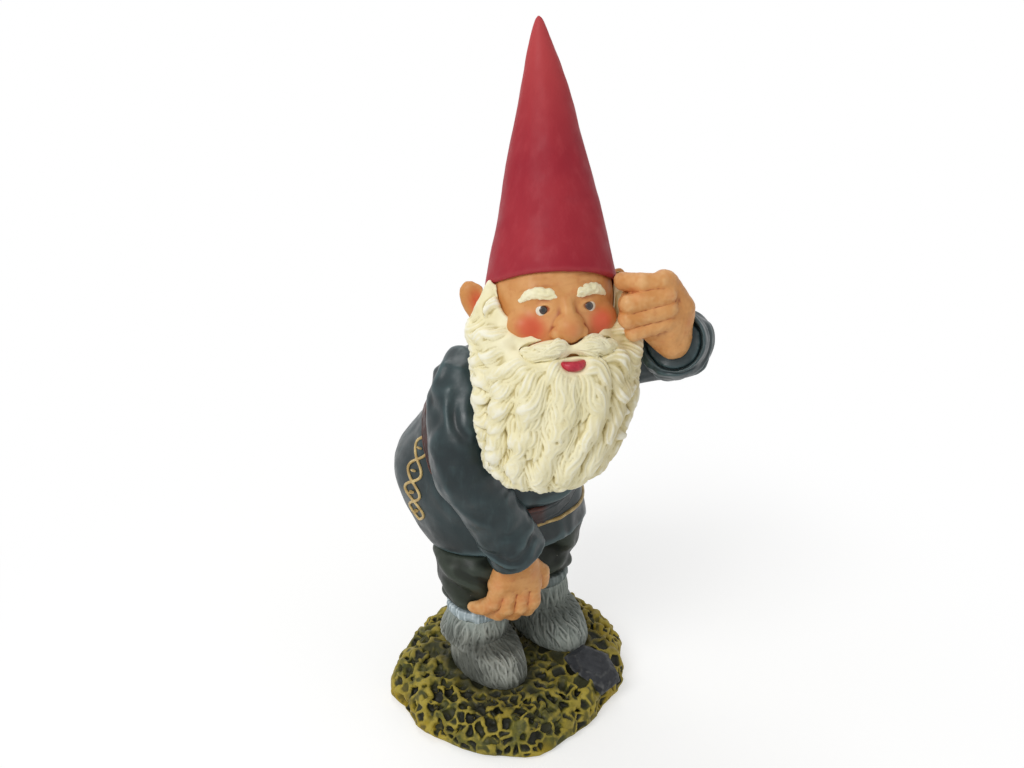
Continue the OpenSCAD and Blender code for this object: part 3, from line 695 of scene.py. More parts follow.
ground = {
    "seed": 5,
    "skin": (0.45, 2),
    "flat": (0.6, 3.0),  # heights between which the flat underside turns into moss
    "bend": (4.0, 1.0),  # size and depth of the waves that pull the pits out of round
    "pitRounds": 40,  # of averaging, to find the pits of the solid
    "pitDepth": (0.1, 0.8),  # hollowness between which a pit fades in
    "crowding": 9.0,  # size of the patches with small cells
    "cell": (2.4, 5.0),  # least spacing of the cells, from crowded to open
    "cellBend": (3.6, 1.5),
    "cellDepth": 1.5,
    "cellShares": (0.1, 0.35, 0.6, 0.8, 1.0, 1.0),  # of that depth, one picked for each cell
    "ridge": (0.0, 0.4),  # half width of a ridge between cells, from thin to thick
    "ridgePatch": (6, 9.2),  # size and seed of the patches with thick ridges
    "slope": 0.75,  # width of the slope from a ridge into a cell
    "lumps": ((8, 2.2, 1.0), (2.2, 4.4, 0.2)),
    "rise": 0.5,
    "shadow": 6.5,  # reach of the dark paint round the boots
    "rim": (9, 4),  # heights between which the yellow paint of the rim fades in
    "rimPatch": (16, 6.1),
    "rimSide": (24, 34),  # where it covers the ground on the left as well
    "relief": (8, 0.5),
}


def mossSeeds(co, hollow):
    # vertices spread over the ground, the deepest of each pit first
    openness = ramp(-0.45, 0.5, lumps(co, ground["crowding"], 3.1))
    low, high = ground["cell"]
    gaps = low + (high - low) * openness
    grid = {}
    seeds = []
    steps = [(a, b, c) for a in (-1, 0, 1) for b in (-1, 0, 1) for c in (-1, 0, 1)]
    for i in np.argsort(-hollow):
        x, y, z = (co[i] // high).astype(int)
        near = [k for a, b, c in steps for k in grid.get((x + a, y + b, z + c), ())]
        if not near or np.linalg.norm(co[near] - co[i], axis=1).min() > gaps[i]:
            seeds.append(i)
            grid.setdefault((x, y, z), []).append(i)
    return seeds


def mossCells(co, hollow):
    # 0 on the ridges between the cells of moss, 1 in the deepest cells
    picker = random.Random(ground["seed"])
    seeds = mossSeeds(co, hollow)
    tree = kdtree.KDTree(len(seeds))
    for k, i in enumerate(seeds):
        tree.insert(co[i].tolist(), k)
    tree.balance()
    size, depth = ground["cellBend"]
    bent = co + waves(co, size, (1.7, 8.3, 5.9)) * depth
    thin, thick = ground["ridge"]
    ridges = thin + (thick - thin) * ramp(-0.5, 0.6, lumps(co, *ground["ridgePatch"]))
    deep = [picker.choice(ground["cellShares"]) for _ in seeds]
    edge = np.zeros(len(co))
    share = np.zeros(len(co))
    for k, point in enumerate(bent.tolist()):
        first, second = tree.find_n(point, 2)
        edge[k] = (second[2] - first[2]) / 2
        share[k] = deep[first[1]]
    return ramp(ridges, ridges + ground["slope"], edge) * share


def bootDistance(co, node):
    # rough distance from a boot's box, on the level
    low, high = (np.array(corner)[:2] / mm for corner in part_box(node))
    flat = co[:, :2]
    out = np.maximum(np.maximum(low - flat, flat - high), 0)
    corner = np.linalg.norm((flat - (low + high) / 2) / ((high - low) / 2), axis=1)
    return np.linalg.norm(out, axis=1) + np.maximum(corner - 1, 0) * 4


def buildGround():
    obj, mesh, co = grown("mossGround", "ground_base", ground["skin"])
    low = ramp(*ground["flat"], co[:, 2])
    size, depth = ground["bend"]
    setCoords(mesh, co + waves(co, size, (2.7, 6.3, 4.9)) * (depth * low)[:, None])
    co = coords(mesh)
    hollow = hollowness(mesh, ground["pitRounds"])
    pit = ramp(*ground["pitDepth"], hollow) * low
    cell = mossCells(co, hollow) * low
    near = np.minimum(bootDistance(co, "left_boot"), bootDistance(co, "right_boot"))
    height = uneven(co, ground["lumps"]) + ground["rise"]
    height -= cell * ground["cellDepth"] * (1 - 0.5 * pit)
    push(mesh, height * low)
    storeFloat(mesh, "pit", np.clip(np.maximum(pit * 0.6, cell), 0, 1))
    shade = np.exp(-near / ground["shadow"]) * ramp(0.2, 0.7, normals(mesh)[:, 2])
    storeFloat(mesh, "shade", shade)
    rim = ramp(*ground["rim"], co[:, 2]) * ramp(-0.3, 0.3, lumps(co, *ground["rimPatch"]))
    storeFloat(mesh, "rim", np.maximum(rim, 0.7 * ramp(*ground["rimSide"], co[:, 0])))
    dress(obj, "ground_base", "mossPaint", ground["relief"])


stone = {"skin": (0.3, 3), "lumps": ((2.6, 1.0, 0.25), (0.9, 2.0, 0.08)), "relief": (10, 0.3)}


def buildPlain(name, node, paint, shape):
    obj, mesh, co = grown(name, node, shape["skin"])
    push(mesh, uneven(co, shape["lumps"]))
    dress(obj, node, paint, shape["relief"])


# boots, cuffs and trousers

boots = {
    "skin": (0.3, 3),
    "tracing": (0.5, 4),  # skin of the form on which the tufts are laid out
    "seed": {"left": 31, "right": 32},
    "rows": (35, 14, 15),  # highest and lowest row of tufts, and how many
    "scatter": 1.6,  # of the tufts, up and down from their row
    "girth": (60, 33, 2.4),  # round the boot, at a height, and its growth for each millimetre below
    "spacing": 1.25,
    "tuft": {
        "length": (6.0, 14.0), "steps": 8, "swing": (0.1, 0.6), "phase": (0, 6.28), "curl": 3.5,
        "width": (0.35, 0.7), "lift": (-0.25, 0.25), "tilt": 0.6,
    },
    "fur": {"height": 0.45, "floor": 0.15, "hole": 0.8, "strands": 1, "lineDepth": 0.08, "reach": 14},
    "instep": (11, 6),  # how far in front of the ankle the dark crease is, and its width
    "shade": {"left": 0.5, "right": 1.0},
    # share of pale frost paint everywhere; on the left boot this is painted light that brightens it all
    # over
    "frost": {"left": 0.75, "right": 0.0},
    "relief": (6, 0.5),
}


def ankleOf(side):
    low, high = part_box(side + "_leg_rod")
    return (np.array(low) + np.array(high)) / 2 / mm


def roundTheLeg(co, side):
    # place on the level from the leg's axis, and angle round it
    flat = co[:, :2] - ankleOf(side)[:2]
    return flat, np.arctan2(flat[:, 1], flat[:, 0])


def buildBoot(side):
    picker = random.Random(boots["seed"][side])
    tree = smoothTree(side + "_boot", boots["tracing"])
    ankle = ankleOf(side)

    def downTheBoot(point):
        flat = point - ankle
        return np.array((flat[0] * 0.07, flat[1] * 0.07, -1.0))

    tufts = []
    around, level, growth = boots["girth"]
    scatter = boots["scatter"]
    for height in np.linspace(*boots["rows"]):
        count = int((around + (level - height) * growth) / boots["spacing"])
        for k in range(count):
            turn = 2 * math.pi * (k + picker.uniform(0, 1)) / count
            way = Vector((math.cos(turn), math.sin(turn), 0))
            start = Vector((ankle[0], ankle[1], height + picker.uniform(-scatter, scatter)))
            spot = tree.ray_cast(start + way * 40, -way)[0]
            if spot is not None:
                tufts.append(lockAt(picker, tree, spot, downTheBoot, boots["tuft"]))
    obj, mesh, co = grown(side + "FurBoot", side + "_boot", boots["skin"])
    up = co[:, 2] - groundTop
    carve(mesh, tufts, boots["fur"], ramp(0, 1, up))
    forward = ankle[1] - co[:, 1] + lumps(co, 6, 2.0) * 3
    dark = ramp(6, 0, up) + hump(forward, *boots["instep"]) * ramp(17, 12, up)
    dark += 0.5 * ramp(-0.1, 0.5, lumps(co, 5, 8.0))
    storeFloat(mesh, "shade", np.clip(dark, 0, 1) * boots["shade"][side])
    # pale frost paint towards the top of the boot; on the left boot also painted light everywhere
    frost = ramp(12, 20, up + lumps(co, 4, 1.0) * 3)
    storeFloat(mesh, "frost", np.maximum(frost, boots["frost"][side]))
    dress(obj, side + "_boot", "furPaint", boots["relief"])


cuffs = {
    "skin": (0.3, 8),
    "ribs": (11, 0.15, 3.0),  # steps of the noise round and up the cuff, and its seed
    "rib": 0.4,
    "lumps": ((3.0, 2.0, 0.3),),
    "shade": {"left": 1.0, "right": 0.0},
    "relief": (8, 0.3),
}


def buildBootCuff(side):
    obj, mesh, co = grown(side + "CuffBand", side + "_boot_cuff", cuffs["skin"])
    angle = roundTheLeg(co, side)[1]
    ribs = drape(angle, co[:, 2], *cuffs["ribs"])
    push(mesh, ribs * cuffs["rib"] + uneven(co, cuffs["lumps"]))
    storeFloat(mesh, "shade", np.full(len(co), cuffs["shade"][side]))
    dress(obj, side + "_boot_cuff", "cuffPaint", cuffs["relief"])


trousers = {
    "skin": (0.5, 14),
    "foot": 37.0,  # height at which the legs end
    "hang": (2.2, 0.05, 4.0),  # as the ribs of the cuffs
    "fold": 0.9,
    "slant": 0.7,  # share of the folds that run aslant
    "bunch": 0.4,  # rings over the boot
    "sag": (1.2, 5, 5),  # bulge of the cloth over the boot, its height above the foot and its width
    "top": (2.4, 18, 7),  # the same where the cloth fills out under the coat
    "between": (5, 8),  # middle between the legs, and how far from it their outer sides begin
    "relief": (14, 0.5),
}


def buildTrouserLeg(side):
    node = side + "_trouser_leg"
    obj, mesh, co = grown(side + "TrouserCloth", node, trousers["skin"])
    flat, angle = roundTheLeg(co, side)
    up = co[:, 2] - trousers["foot"]
    wobble = lumps(co, 9, 1.0) * 3.0
    bunch = np.cos(up * 0.9 + wobble + np.sin(angle * 2)) * ramp(14, 3, up)
    slant = np.cos(flat[:, 0] * 0.42 - flat[:, 1] * 0.3 + up * 0.55 + wobble * 0.7)
    hang = drape(angle, up, *trousers["hang"])
    height = (hang + slant * trousers["slant"]) * trousers["fold"] + bunch * trousers["bunch"]
    middle, half = trousers["between"]
    outer = ramp(-2, 6, np.abs(co[:, 0] - middle) - half)
    height += band(up, trousers["sag"]) * (1 - 0.9 * outer)
    height += band(up, trousers["top"]) * outer
    push(mesh, height * ramp(0.2, 2.5, up) * ramp(24, 19, up))
    dress(obj, node, "trouserPaint", trousers["relief"])


# coat, belt and trim

coat = {
    "skin": (0.62, 16),
    "axis": (5, 14),  # upright through the middle of the skirt
    "lumps": ((15, 1.0, 0.8), (6, 2.0, 0.12)),
    "swing": (2.6, 0.03, 7.0),  # as the ribs of the cuffs
    "drape": 0.9,  # depth of the skirt's folds
    "pinch": (0.7, 0, 3.0),  # how far the belt draws the cloth in, its distance from the belt and its width
    "roll": (0.5, 6.5, 3.0),  # how far the cloth swells beside the belt
    "creases": 14,  # that fan out from the belt, all the way round
    "crease": 0.21,
    "creaseReach": (5, 5),
    "belly": (3.4, 4.4, 2.6),  # how far the belly hangs over the belt
    "relief": (18, 0.6),
}

belt = {
    "skin": (0.3, 4),
    "middle": (3.5, 11.5, 99.0),  # a point on the belt's plane
    "tilt": 45.0,
    "lumps": ((6, 3.0, 0.12),),
    "groove": (0.22, 1.75, 0.22),  # depth, distance from the middle of the strap, and width
    "bare": ((3, 8), (0, -5)),  # x and y between which the coat's colour fades in, at the front on the left
    "relief": (8, 0.3),
}


def beltSide(co):
    # distance above the plane of the belt
    tilt = math.radians(belt["tilt"])
    return (co - belt["middle"]) @ (0, -math.sin(tilt), math.cos(tilt))


def buildCoat():
    obj, mesh, co = grown("coatCloth", "coat", coat["skin"])
    n = normals(mesh)
    x, y = coat["axis"]
    angle = np.arctan2(co[:, 1] - y, co[:, 0] - x)
    up = co[:, 2] - hemHeight
    side = beltSide(co)
    beside = np.abs(side)
    out = np.maximum(ramp(-0.6, -0.2, n[:, 2]), ramp(2, 6, up))  # the underside stays plain
    height = uneven(co, coat["lumps"])
    height += drape(angle, up, *coat["swing"]) * coat["drape"] * ramp(30, 2, up)
    height -= band(side, coat["pinch"])
    height += band(beside, coat["roll"])
    fan = np.cos(angle * coat["creases"] + lumps(co, 12, 3.0) * 4)
    height += fan * hump(beside, *coat["creaseReach"]) * coat["crease"]
    front = ramp(-0.1, -0.7, n[:, 1]) * (0.3 + 0.7 * ramp(0, 8, co[:, 0]))
    height += band(side, coat["belly"]) * front
    push(mesh, height * out)
    # painted shade: the coat grows darker towards its hem
    storeFloat(mesh, "hem", ramp(20, 0, up))
    dress(obj, "coat", "coatPaint", coat["relief"])
    return treeOf(mesh)


def buildBelt():
    obj, mesh, co = grown("leatherBelt", "belt", belt["skin"])
    push(mesh, uneven(co, belt["lumps"]) - band(np.abs(beltSide(co)), belt["groove"]))
    across, along = belt["bare"]
    storeFloat(mesh, "shade", ramp(*across, co[:, 0]) * ramp(*along, co[:, 1]))
    dress(obj, "belt", "beltPaint", belt["relief"])


trim = {
    "skin": (0.18, 2),
    "line": 0.55,  # radius of the gold lines
    "dot": 1.1,
    "cord": 0.7,  # radius of the cord across the front
    "cordHeight": 69.0,
    "cordArc": (-125, -15),  # angles at which the cord starts and ends
    "wave": (68.0, 98.0),  # lowest and highest point of the crossing waves on the hip
    "period": 15.0,
    "swing": 7.0,  # degrees round the coat
    "hips": (179, 1),  # angles of the middle of the waves
}


def buildTrim(coatTree):
    def onCoat(angle, z, out=0.15):
        way = Vector((math.cos(angle), math.sin(angle), 0))
        start = Vector((*coat["axis"], z)) + way * 60
        spot, normal = coatTree.ray_cast(start, -way)[:2]
        return np.array(spot + normal * out)

    start, end = trim["cordArc"]
    angles = np.radians(np.linspace(start, end, 31))
    cord = [onCoat(angle, trim["cordHeight"] + math.sin(angle * 3) * 0.4) for angle in angles]
    paths = [(cord, [trim["cord"]] * len(cord))]
    low, high = trim["wave"]
    period = trim["period"]
    for middle in trim["hips"]:
        for phase in (0, math.pi):
            wave = []
            for z in np.linspace(low, high, 45):
                swing = trim["swing"] * math.sin(phase + (z - low) * 2 * math.pi / period)
                wave.append(onCoat(math.radians(middle + swing), z))
            paths.append((wave, [trim["line"]] * len(wave)))
        for z in np.arange(low + period / 4, high, period / 2):
            dot = [onCoat(math.radians(middle), z + h, 0.4) for h in (-0.2, 0.2)]
            paths.append((dot, [trim["dot"]] * 2))
    bm = bmesh.new()
    addStrands(bm, paths)
    dress(clay("goldTrim", bm, trim["skin"]), None, "goldPaint")


# sleeves and hands

sleeves = {
    "skin": (0.5, 12),
    "right": ((-13.5, 0, 125), (-22.8, -11.4, 98.9), (-5.6, -15.6, 64.7)),  # shoulder, elbow, wrist
    "left": ((20.5, 0, 125), (49.4, -20.4, 126.8), (29.7, -43.6, 139.8)),
    "lumps": ((11, 3.0, 0.8), (4.5, 6.0, 0.12)),
    "elbowFold": 0.8,
    "elbowReach": 17,
    "cuffFold": 0.45,
    "cuffPlace": (8, 7),  # distance of the folds from the wrist, and their width
    "armFold": 0.35,  # along the lower arm
    "shoulderFold": 0.3,
    "shoulderPlace": (8, 10),  # distance of the folds from the shoulder, and their width
    "shoulder": 0.6,  # how far the cloth stands up on the shoulder
    "shoulderTop": ((0, 0, 9.0), 10),  # place over the shoulder, and reach
    "hang": {"left": 1.2, "right": 0.0},  # how far the cloth hangs under the arm
    "seat": (1.6, 0.35),  # reach and depth with which the cloth is drawn onto the coat
    "cuffWay": {"left": (-0.704, -0.58, 0.411), "right": (0.4, -0.2, -0.9)},  # out of the cuffs
    "cuffReach": 11.0,
    "cuffFill": 2.6,  # how far the cloth fills the hollow round a wrist
    "relief": (16, 0.6),
}


def unit(way):
    return way / np.linalg.norm(way)


def buildSleeve(side, coatTree):
    shoulder, elbow, wrist = (np.array(p, float) for p in sleeves[side])
    node = side + "_sleeve"
    obj, mesh, co = grown(side + "SleeveCloth", node, sleeves["skin"])
    n = normals(mesh)
    upper = unit(elbow - shoulder)
    lower = unit(wrist - elbow)
    bend = unit(lower - upper)  # towards the inside of the elbow
    aside = np.cross(upper, bend)
    fromElbow = np.linalg.norm(co - elbow, axis=1)
    fromWrist = (wrist - co) @ lower
    wobble = lumps(co, 8, 5.0) * 3.4
    slant = (co - elbow) @ aside * 0.5
    height = uneven(co, sleeves["lumps"])
    reach = sleeves["elbowReach"]
    folds = np.cos((co - elbow) @ (upper + lower) * 0.6 + slant + wobble) * hump(fromElbow, 0, reach)
    height += folds * sleeves["elbowFold"] * ramp(-0.35, 0.7, n @ bend)
    rings = np.cos(fromWrist * 0.8 + slant + wobble * 1.5) * hump(fromWrist, *sleeves["cuffPlace"])
    height += rings * sleeves["cuffFold"] * ramp(0.5, 3.5, fromWrist)
    lines = np.cos((co - elbow) @ np.cross(lower, bend) * 0.5 + wobble)
    lines *= ramp(4, 14, fromElbow) * ramp(3, 9, fromWrist)
    height += lines * sleeves["armFold"]
    lines = np.cos((co - shoulder) @ aside * 0.55 + wobble)
    lines *= hump((co - shoulder) @ upper, *sleeves["shoulderPlace"])
    height += lines * sleeves["shoulderFold"]
    under = ramp(0.2, 0.8, -n[:, 2]) * ramp(0, 4, fromWrist)
    height += under * sleeves["hang"][side]
    rise, reach = sleeves["shoulderTop"]
    height += dab(co, shoulder + rise, reach) * sleeves["shoulder"]
    push(mesh, height)
    seat(mesh, coatTree, *sleeves["seat"])
    co = coords(mesh)
    out = np.array(sleeves["cuffWay"][side])
    deep = (co - wrist) @ out
    inCuff = ramp(0.2, 0.7, normals(mesh) @ out) * ramp(-1, -2, deep)
    inCuff *= ramp(-6, -5, deep) * (np.linalg.norm(co - wrist, axis=1) < sleeves["cuffReach"])
    setCoords(mesh, co + out * (averaged(mesh, inCuff[:, None], 3) * sleeves["cuffFill"]))
    dress(obj, node, "coatPaint", sleeves["relief"])


hands = {
    "skin": (0.27, 4),
    "flesh": 0.4,
    "soften": 20,  # rounds of smoothing once the flesh is on
    "lumps": ((3.4, 1.0, 0.25), (1.1, 2.0, 0.1)),
    "blush": ((5, 4.0, 0.8),),
    "relief": (16, 0.38),
}


def buildHand(side):
    obj, mesh, co = grown(side + "PaintedHand", side + "_hand", hands["skin"])
    push(mesh, np.full(len(co), hands["flesh"]))
    setCoords(mesh, averaged(mesh, coords(mesh), hands["soften"], 0.5))
    co = coords(mesh)
    push(mesh, uneven(co, hands["lumps"]))
    storeFloat(mesh, "blush", np.clip(uneven(co, hands["blush"]) + 0.1, 0, 1) * 0.5)
    dress(obj, side + "_hand", "skinPaint", hands["relief"])


# head and ears, measured from the middle of the head

face = {
    "skin": (0.32, 9),
    "eye": (6.6, 2.4),  # sideways and up
    "ball": 2.3,
    "ballOut": 0.35,  # how far a ball stands out of the face
    "lids": ((1.5, 0.74), (-1.1, 0.555)),  # rise and radius of the upper and the lower one
    "lidWide": 2.808,  # from the middle of the eye to its corner
    "lidSlant": 0.25,
    "lidDepth": (0.35, 0.45),  # how far its ends go back, and how far its middle stands out
    "lidTaper": 0.45,
    "cheek": ((10.2, -11.8, -2.0), (6.4, 5.7, 5.6)),  # place and radii
    "nostril": ((3.5, -20.0, -4.2), (2.2, 2.2, 1.9)),
    "brow": (1.6, 1.9, 2.0, 2.0, 1.9, 1.7, 1.3),  # radii of the ridge under an eyebrow, outwards
    "browStep": (0.3, 2.0),  # sideways place of its first radius, and step to the next
    "browArch": (6.4, 0.9, 0.08),  # its height, arch and droop
    "browDeep": 0.9,
    "bridge": (2.2, 2.1, 2.2, 2.5, 3.0),  # radii of the nose, downwards
    "bridgeFront": (-18.6, 0.35),  # y of the first one, and step forwards to the next
    "bridgeTop": (5.5, 1.6),  # its height, and step down to the next
    "soft": 40,  # rounds of smoothing between the brows and on the cheeks
    "softBrow": ((0, -18.5, 6.5), 4.0),  # place and radius
    "softCheek": ((10.4, -15.5, -2.0), 7.0),
    "lumps": ((4, 3.0, 0.1),),
    "socket": (0.2, 2.0, 0.8),  # rise over the middle of the eye, radius and depth
    "cheekFold": 0.22,
    "cheekFoldStart": (4.2, -1.6),  # sideways and up
    "cheekFoldStep": (0.75, -0.9),
    "foreheadLines": (9.3, 11.2),
    "foreheadDepth": 0.12,
    "lineWide": 0.6,
    "blush": (  # place, radius and strength, on both sides
        ((10.4, -17.0, -2.2), 4.2, 0.8),
        ((9.0, -17.0, -5.0), 8.0, 0.18),
    ),
    "noseBlush": ((0, -24, -3.0), 3.2, 0.35),
    "look": (0, -1.0, 0.05),
    "relief": (12, 0.45),
}


def faceFront(tree, x, z):
    # the y of the head's front at a place of the face
    far = 60
    way = Vector(headFrame @ (0, 1, 0))
    return tree.ray_cast(Vector(onHead(x, -far, z)), way)[3] - far


def onFace(tree, x, z, back=0.0):
    return onHead(x, faceFront(tree, x, z) + back, z)


def mirrored(place):
    x, y, z = place
    return onHead(-x, y, z), onHead(x, y, z)


def faceForms(bm, tree):
    # adds cheeks, nostrils, lids, brows and nose to the head
    eyeX, eyeZ = face["eye"]
    back, out = face["lidDepth"]
    first, step = face["browStep"]
    browZ, arch, droop = face["browArch"]
    paths = []
    for key in ("cheek", "nostril"):
        place, radii = face[key]
        for middle in mirrored(place):
            addBall(bm, middle, radii)
    for side in (-1, 1):
        for rise, radius in face["lids"]:
            arc = []
            radii = []
            for t in np.linspace(-1, 1, 9):
                x = side * eyeX + t * face["lidWide"]
                z = eyeZ + rise * (1 - t * t) - face["lidSlant"] * t * side
                arc.append(onFace(tree, x, z, back * t * t - out))
                radii.append(radius * (1 - face["lidTaper"] * t * t))
            paths.append((arc, radii))
        brow = []
        for k in range(len(face["brow"])):
            z = browZ + arch * math.sin(k / 6 * math.pi) - droop * k
            brow.append(onFace(tree, side * (first + k * step), z, face["browDeep"]))
        paths.append((brow, face["brow"]))
    y, forwards = face["bridgeFront"]
    z, down = face["bridgeTop"]
    bridge = [onHead(0, y - forwards * k, z - down * k) for k in range(len(face["bridge"]))]
    paths.append((bridge, face["bridge"]))
    addStrands(bm, paths)


def buildHead():
    bm = nodeCopy("head")
    tree = treeOf(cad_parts["head"].data)
    faceForms(bm, tree)
    obj = clay("paintedHead", bm, face["skin"])
    mesh = obj.data
    co = coords(mesh)
    place, radius = face["softBrow"]
    soft = dab(co, onHead(*place), radius)
    place, radius = face["softCheek"]
    for middle in mirrored(place):
        soft = np.maximum(soft, dab(co, middle, radius))
    co += (averaged(mesh, co, face["soft"]) - co) * np.clip(soft * 1.3, 0, 1)[:, None]
    setCoords(mesh, co)
    height = uneven(co, face["lumps"])
    eyeX, eyeZ = face["eye"]
    rise, reach, deep = face["socket"]
    foldX, foldZ = face["cheekFoldStart"]
    stepX, stepZ = face["cheekFoldStep"]
    balls = []
    for side in (-1, 1):
        front = faceFront(tree, side * eyeX, eyeZ)
        balls.append(onHead(side * eyeX, front + face["ball"] - face["ballOut"], eyeZ))
        height -= dab(co, onHead(side * eyeX, front, eyeZ + rise), reach) * deep
        fold = [onFace(tree, side * (foldX + k * stepX), foldZ + k * stepZ, -0.8) for k in range(5)]
        height -= hump(nearLine(co, fold), 0, face["lineWide"]) * face["cheekFold"]
    for z in face["foreheadLines"]:
        line = [onFace(tree, (k - 4) * 2.0, z + 0.25 * math.cos(k * 0.9)) for k in range(9)]
        height -= hump(nearLine(co, line), 0, face["lineWide"]) * face["foreheadDepth"]
    push(mesh, height)
    co = coords(mesh)
    place, radius, strength = face["noseBlush"]
    blush = dab(co, onHead(*place), radius) * strength
    for place, radius, strength in face["blush"]:
        for middle in mirrored(place):
            blush += dab(co, middle, radius) * strength
    storeFloat(mesh, "blush", np.clip(blush, 0, 1))
    dress(obj, "head", "skinPaint", face["relief"])
    buildEyes(balls)


def buildEyes(balls):
    bm = bmesh.new()
    for middle in balls:
        addBall(bm, middle, (face["ball"],) * 3, 64)
    obj = asObject("paintedEyes", bm)
    away = np.stack([coords(obj.data) - ball for ball in balls])
    far = np.linalg.norm(away, axis=2)
    way = np.where((far[0] < far[1])[:, None], away[0], away[1]) / far.min(0)[:, None]
    look = headFrame @ face["look"]
    storeFloat(obj.data, "turn", np.arccos(np.clip(way @ look, -1, 1)))
    dress(obj, None, "eyePaint")


ears = {
    "skin": (0.22, 6),
    "middle": (21.2, 2.2, 4.2),
    "facing": (0.55, -0.8, 0),  # way that the hollow opens
    "hollow": 1.7,
    "hollowSize": (3.4, 4.0, 4.6),
    "lumps": ((3, 1.0, 0.12),),
    "relief": (12, 0.5),
}


def buildEar(side):
    sign = 1 if side == "left" else -1
    obj, mesh, co = grown(side + "PaintedEar", side + "_ear", ears["skin"])
    x, y, z = ears["facing"]
    facing = ramp(0.1, 0.7, normals(mesh) @ (headFrame @ (sign * x, y, z)))
    x, y, z = ears["middle"]
    local = (co - onHead(sign * x, y, z)) @ headFrame / ears["hollowSize"]
    inner = dab(local, (0, 0, 0), 1.0) * facing
    push(mesh, uneven(co, ears["lumps"]) - ears["hollow"] * inner)
    storeFloat(mesh, "blush", np.clip(inner * 0.8, 0, 1))
    dress(obj, side + "_ear", "skinPaint", ears["relief"])


# beard, moustache, hair and brows

beard = {
    "seed": 21,
    "skin": (0.36, 45),
    "tracing": (0.6, 10),  # as at the boots
    "mouth": (0.3, -22.0, -6.5),
    "rows": (3, 6, 9, 12, 15, 19, 23, 27, 31, 35, 39, 43),  # distances from the mouth where locks start
    "arc": 112,  # degrees to both sides that the rows reach
    "scatter": 1.5,  # of the starts, to and from the mouth
    "temples": (20, 17, 14, 11, 8, 5, 2, -1, -6, -12, -18, -24, -30, -36),  # rows at the side, upwards
    "templeStart": 20,  # how far round the beard these rows start
    "templeLocks": 8,  # on each side
    "spacing": 3.6,
    "lock": {
        "length": (10.0, 16.0), "steps": 13, "swing": (0.35, 0.8), "phase": (-4.1, -2.7), "curl": 5.0,
        "width": (1.5, 2.6), "lift": (-0.35, 0.35), "tilt": 1.2,
    },
    "sideTilt": 1.9,  # how much more the tips stand out at the sides
    "lobes": ((4.5, 7.0, 1.5),),  # waves of the beard's edge
    "round": 24.0,  # mean radius of the beard
    "axis": (0.08, -9.0),  # sideways lean and y of the upright through its middle
    "hair": {"height": 1.0, "floor": 0.2, "hole": 0.6, "strands": 3, "lineDepth": 0.22, "reach": 26},
    "lumps": ((1.6, 1.0, 0.05),),
    "relief": (9, 0.45),
}


def beardStarts(picker):
    # places where locks start, in millimetres round the beard and up it from the mouth
    starts = []
    arc = math.radians(beard["arc"])
    scatter = beard["scatter"]
    for row in beard["rows"]:
        count = max(7, int(2 * arc * row / beard["spacing"]))
        for k in range(count):
            lean = -arc + 2 * arc * (k + picker.uniform(0.2, 0.8)) / count
            away = row + picker.uniform(-scatter, scatter)
            starts.append((away * math.sin(lean), -away * math.cos(lean)))
    for height in beard["temples"]:
        for side in (-1, 1):
            for k in range(beard["templeLocks"]):
                along = (k + picker.uniform(0.2, 0.8)) * beard["spacing"]
                u = side * (beard["templeStart"] + along)
                starts.append((u, height + picker.uniform(-1, 1)))
    return starts


def buildBeard():
    picker = random.Random(beard["seed"])
    tree = smoothTree("beard", beard["tracing"])
    mouth = onBeard(*beard["mouth"])
    down = np.array((0, 0, -1.0))

    def fromMouth(point):
        way = point - mouth
        out = way / max(np.linalg.norm(way), 1.0)
        x, y, z = (point - headMiddle) @ beardFrame
        high = float(ramp(-3, 8, z))
        side = float(ramp(-2, 8, y))
        back = beardFrame @ (0.3 * np.sign(x), 0.35, 0)
        low = out * (1 - 0.5 * side) + down * (0.12 + 0.8 * side)
        return low * (1 - high) + (down + back) * high

    locks = []
    lean, y = beard["axis"]
    for u, v in beardStarts(picker):
        turn = u / beard["round"]
        way = beardFrame @ (math.sin(turn), -math.cos(turn), 0)
        axis = onBeard(lean * v, y, beard["mouth"][2] + v)
        spot = tree.ray_cast(Vector(axis + way * 60), Vector(-way))[0]
        if spot is not None:
            curl = 1 if u + picker.uniform(-5, 5) > 0 else -1  # the tips curl outwards
            aside = float(ramp(14, 26, abs(u)))
            tilt = beard["sideTilt"] * aside
            locks.append(lockAt(picker, tree, spot, fromMouth, beard["lock"], curl, 1 - 0.1 * aside, tilt))
    obj, mesh, co = grown("carvedBeard", "beard", beard["skin"])
    rims = [treeOf(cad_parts[node].data) for node in ("head", "lower_lip")]
    gap = np.array([min(rim.find_nearest(spot)[3] for rim in rims) for spot in co.tolist()])
    free = ramp(0.3, 1.6, gap)
    across = ((co - headMiddle) @ beardFrame)[:, 0]
    push(mesh, uneven(co, beard["lobes"]) * ramp(9, 16, np.abs(across)) * free)
    carve(mesh, locks, beard["hair"], free)
    push(mesh, uneven(coords(mesh), beard["lumps"]))
    co = coords(mesh)
    # painted shade and stain: the beard grows darker across towards +x, with a ragged edge
    across = ((co - headMiddle) @ beardFrame)[:, 0] + lumps(co, 9, 3.0) * 5
    storeFloat(mesh, "wash", ramp(3, 16, across))
    dress(obj, "beard", "beardPaint", beard["relief"])


moustache = {
    "seed": 4,
    "skin": (0.24, 6),
    "tracing": (0.3, 4),
    "starts": (0.5, 2.5, 4.5, 6.5, 8.5, 10.5, 12.5),  # distances from the middle where locks start
    "rows": 5,
    "rowStep": 1.4,
    "middle": (-1.5, 0.02),  # height of the middle row, and its droop with the square of the distance
    "lock": {
        "length": (6.0, 9.0), "steps": 8, "swing": (0.2, 0.5), "phase": (0, 6.28), "curl": 4.0,
        "width": (1.0, 1.6), "lift": (-0.8, -0.2), "tilt": 1.2,
    },
    "hair": {"height": 0.8, "floor": 0.4, "hole": 0.6, "strands": 3, "lineDepth": 0.26, "reach": 20},
    "relief": (8, 0.5),
}


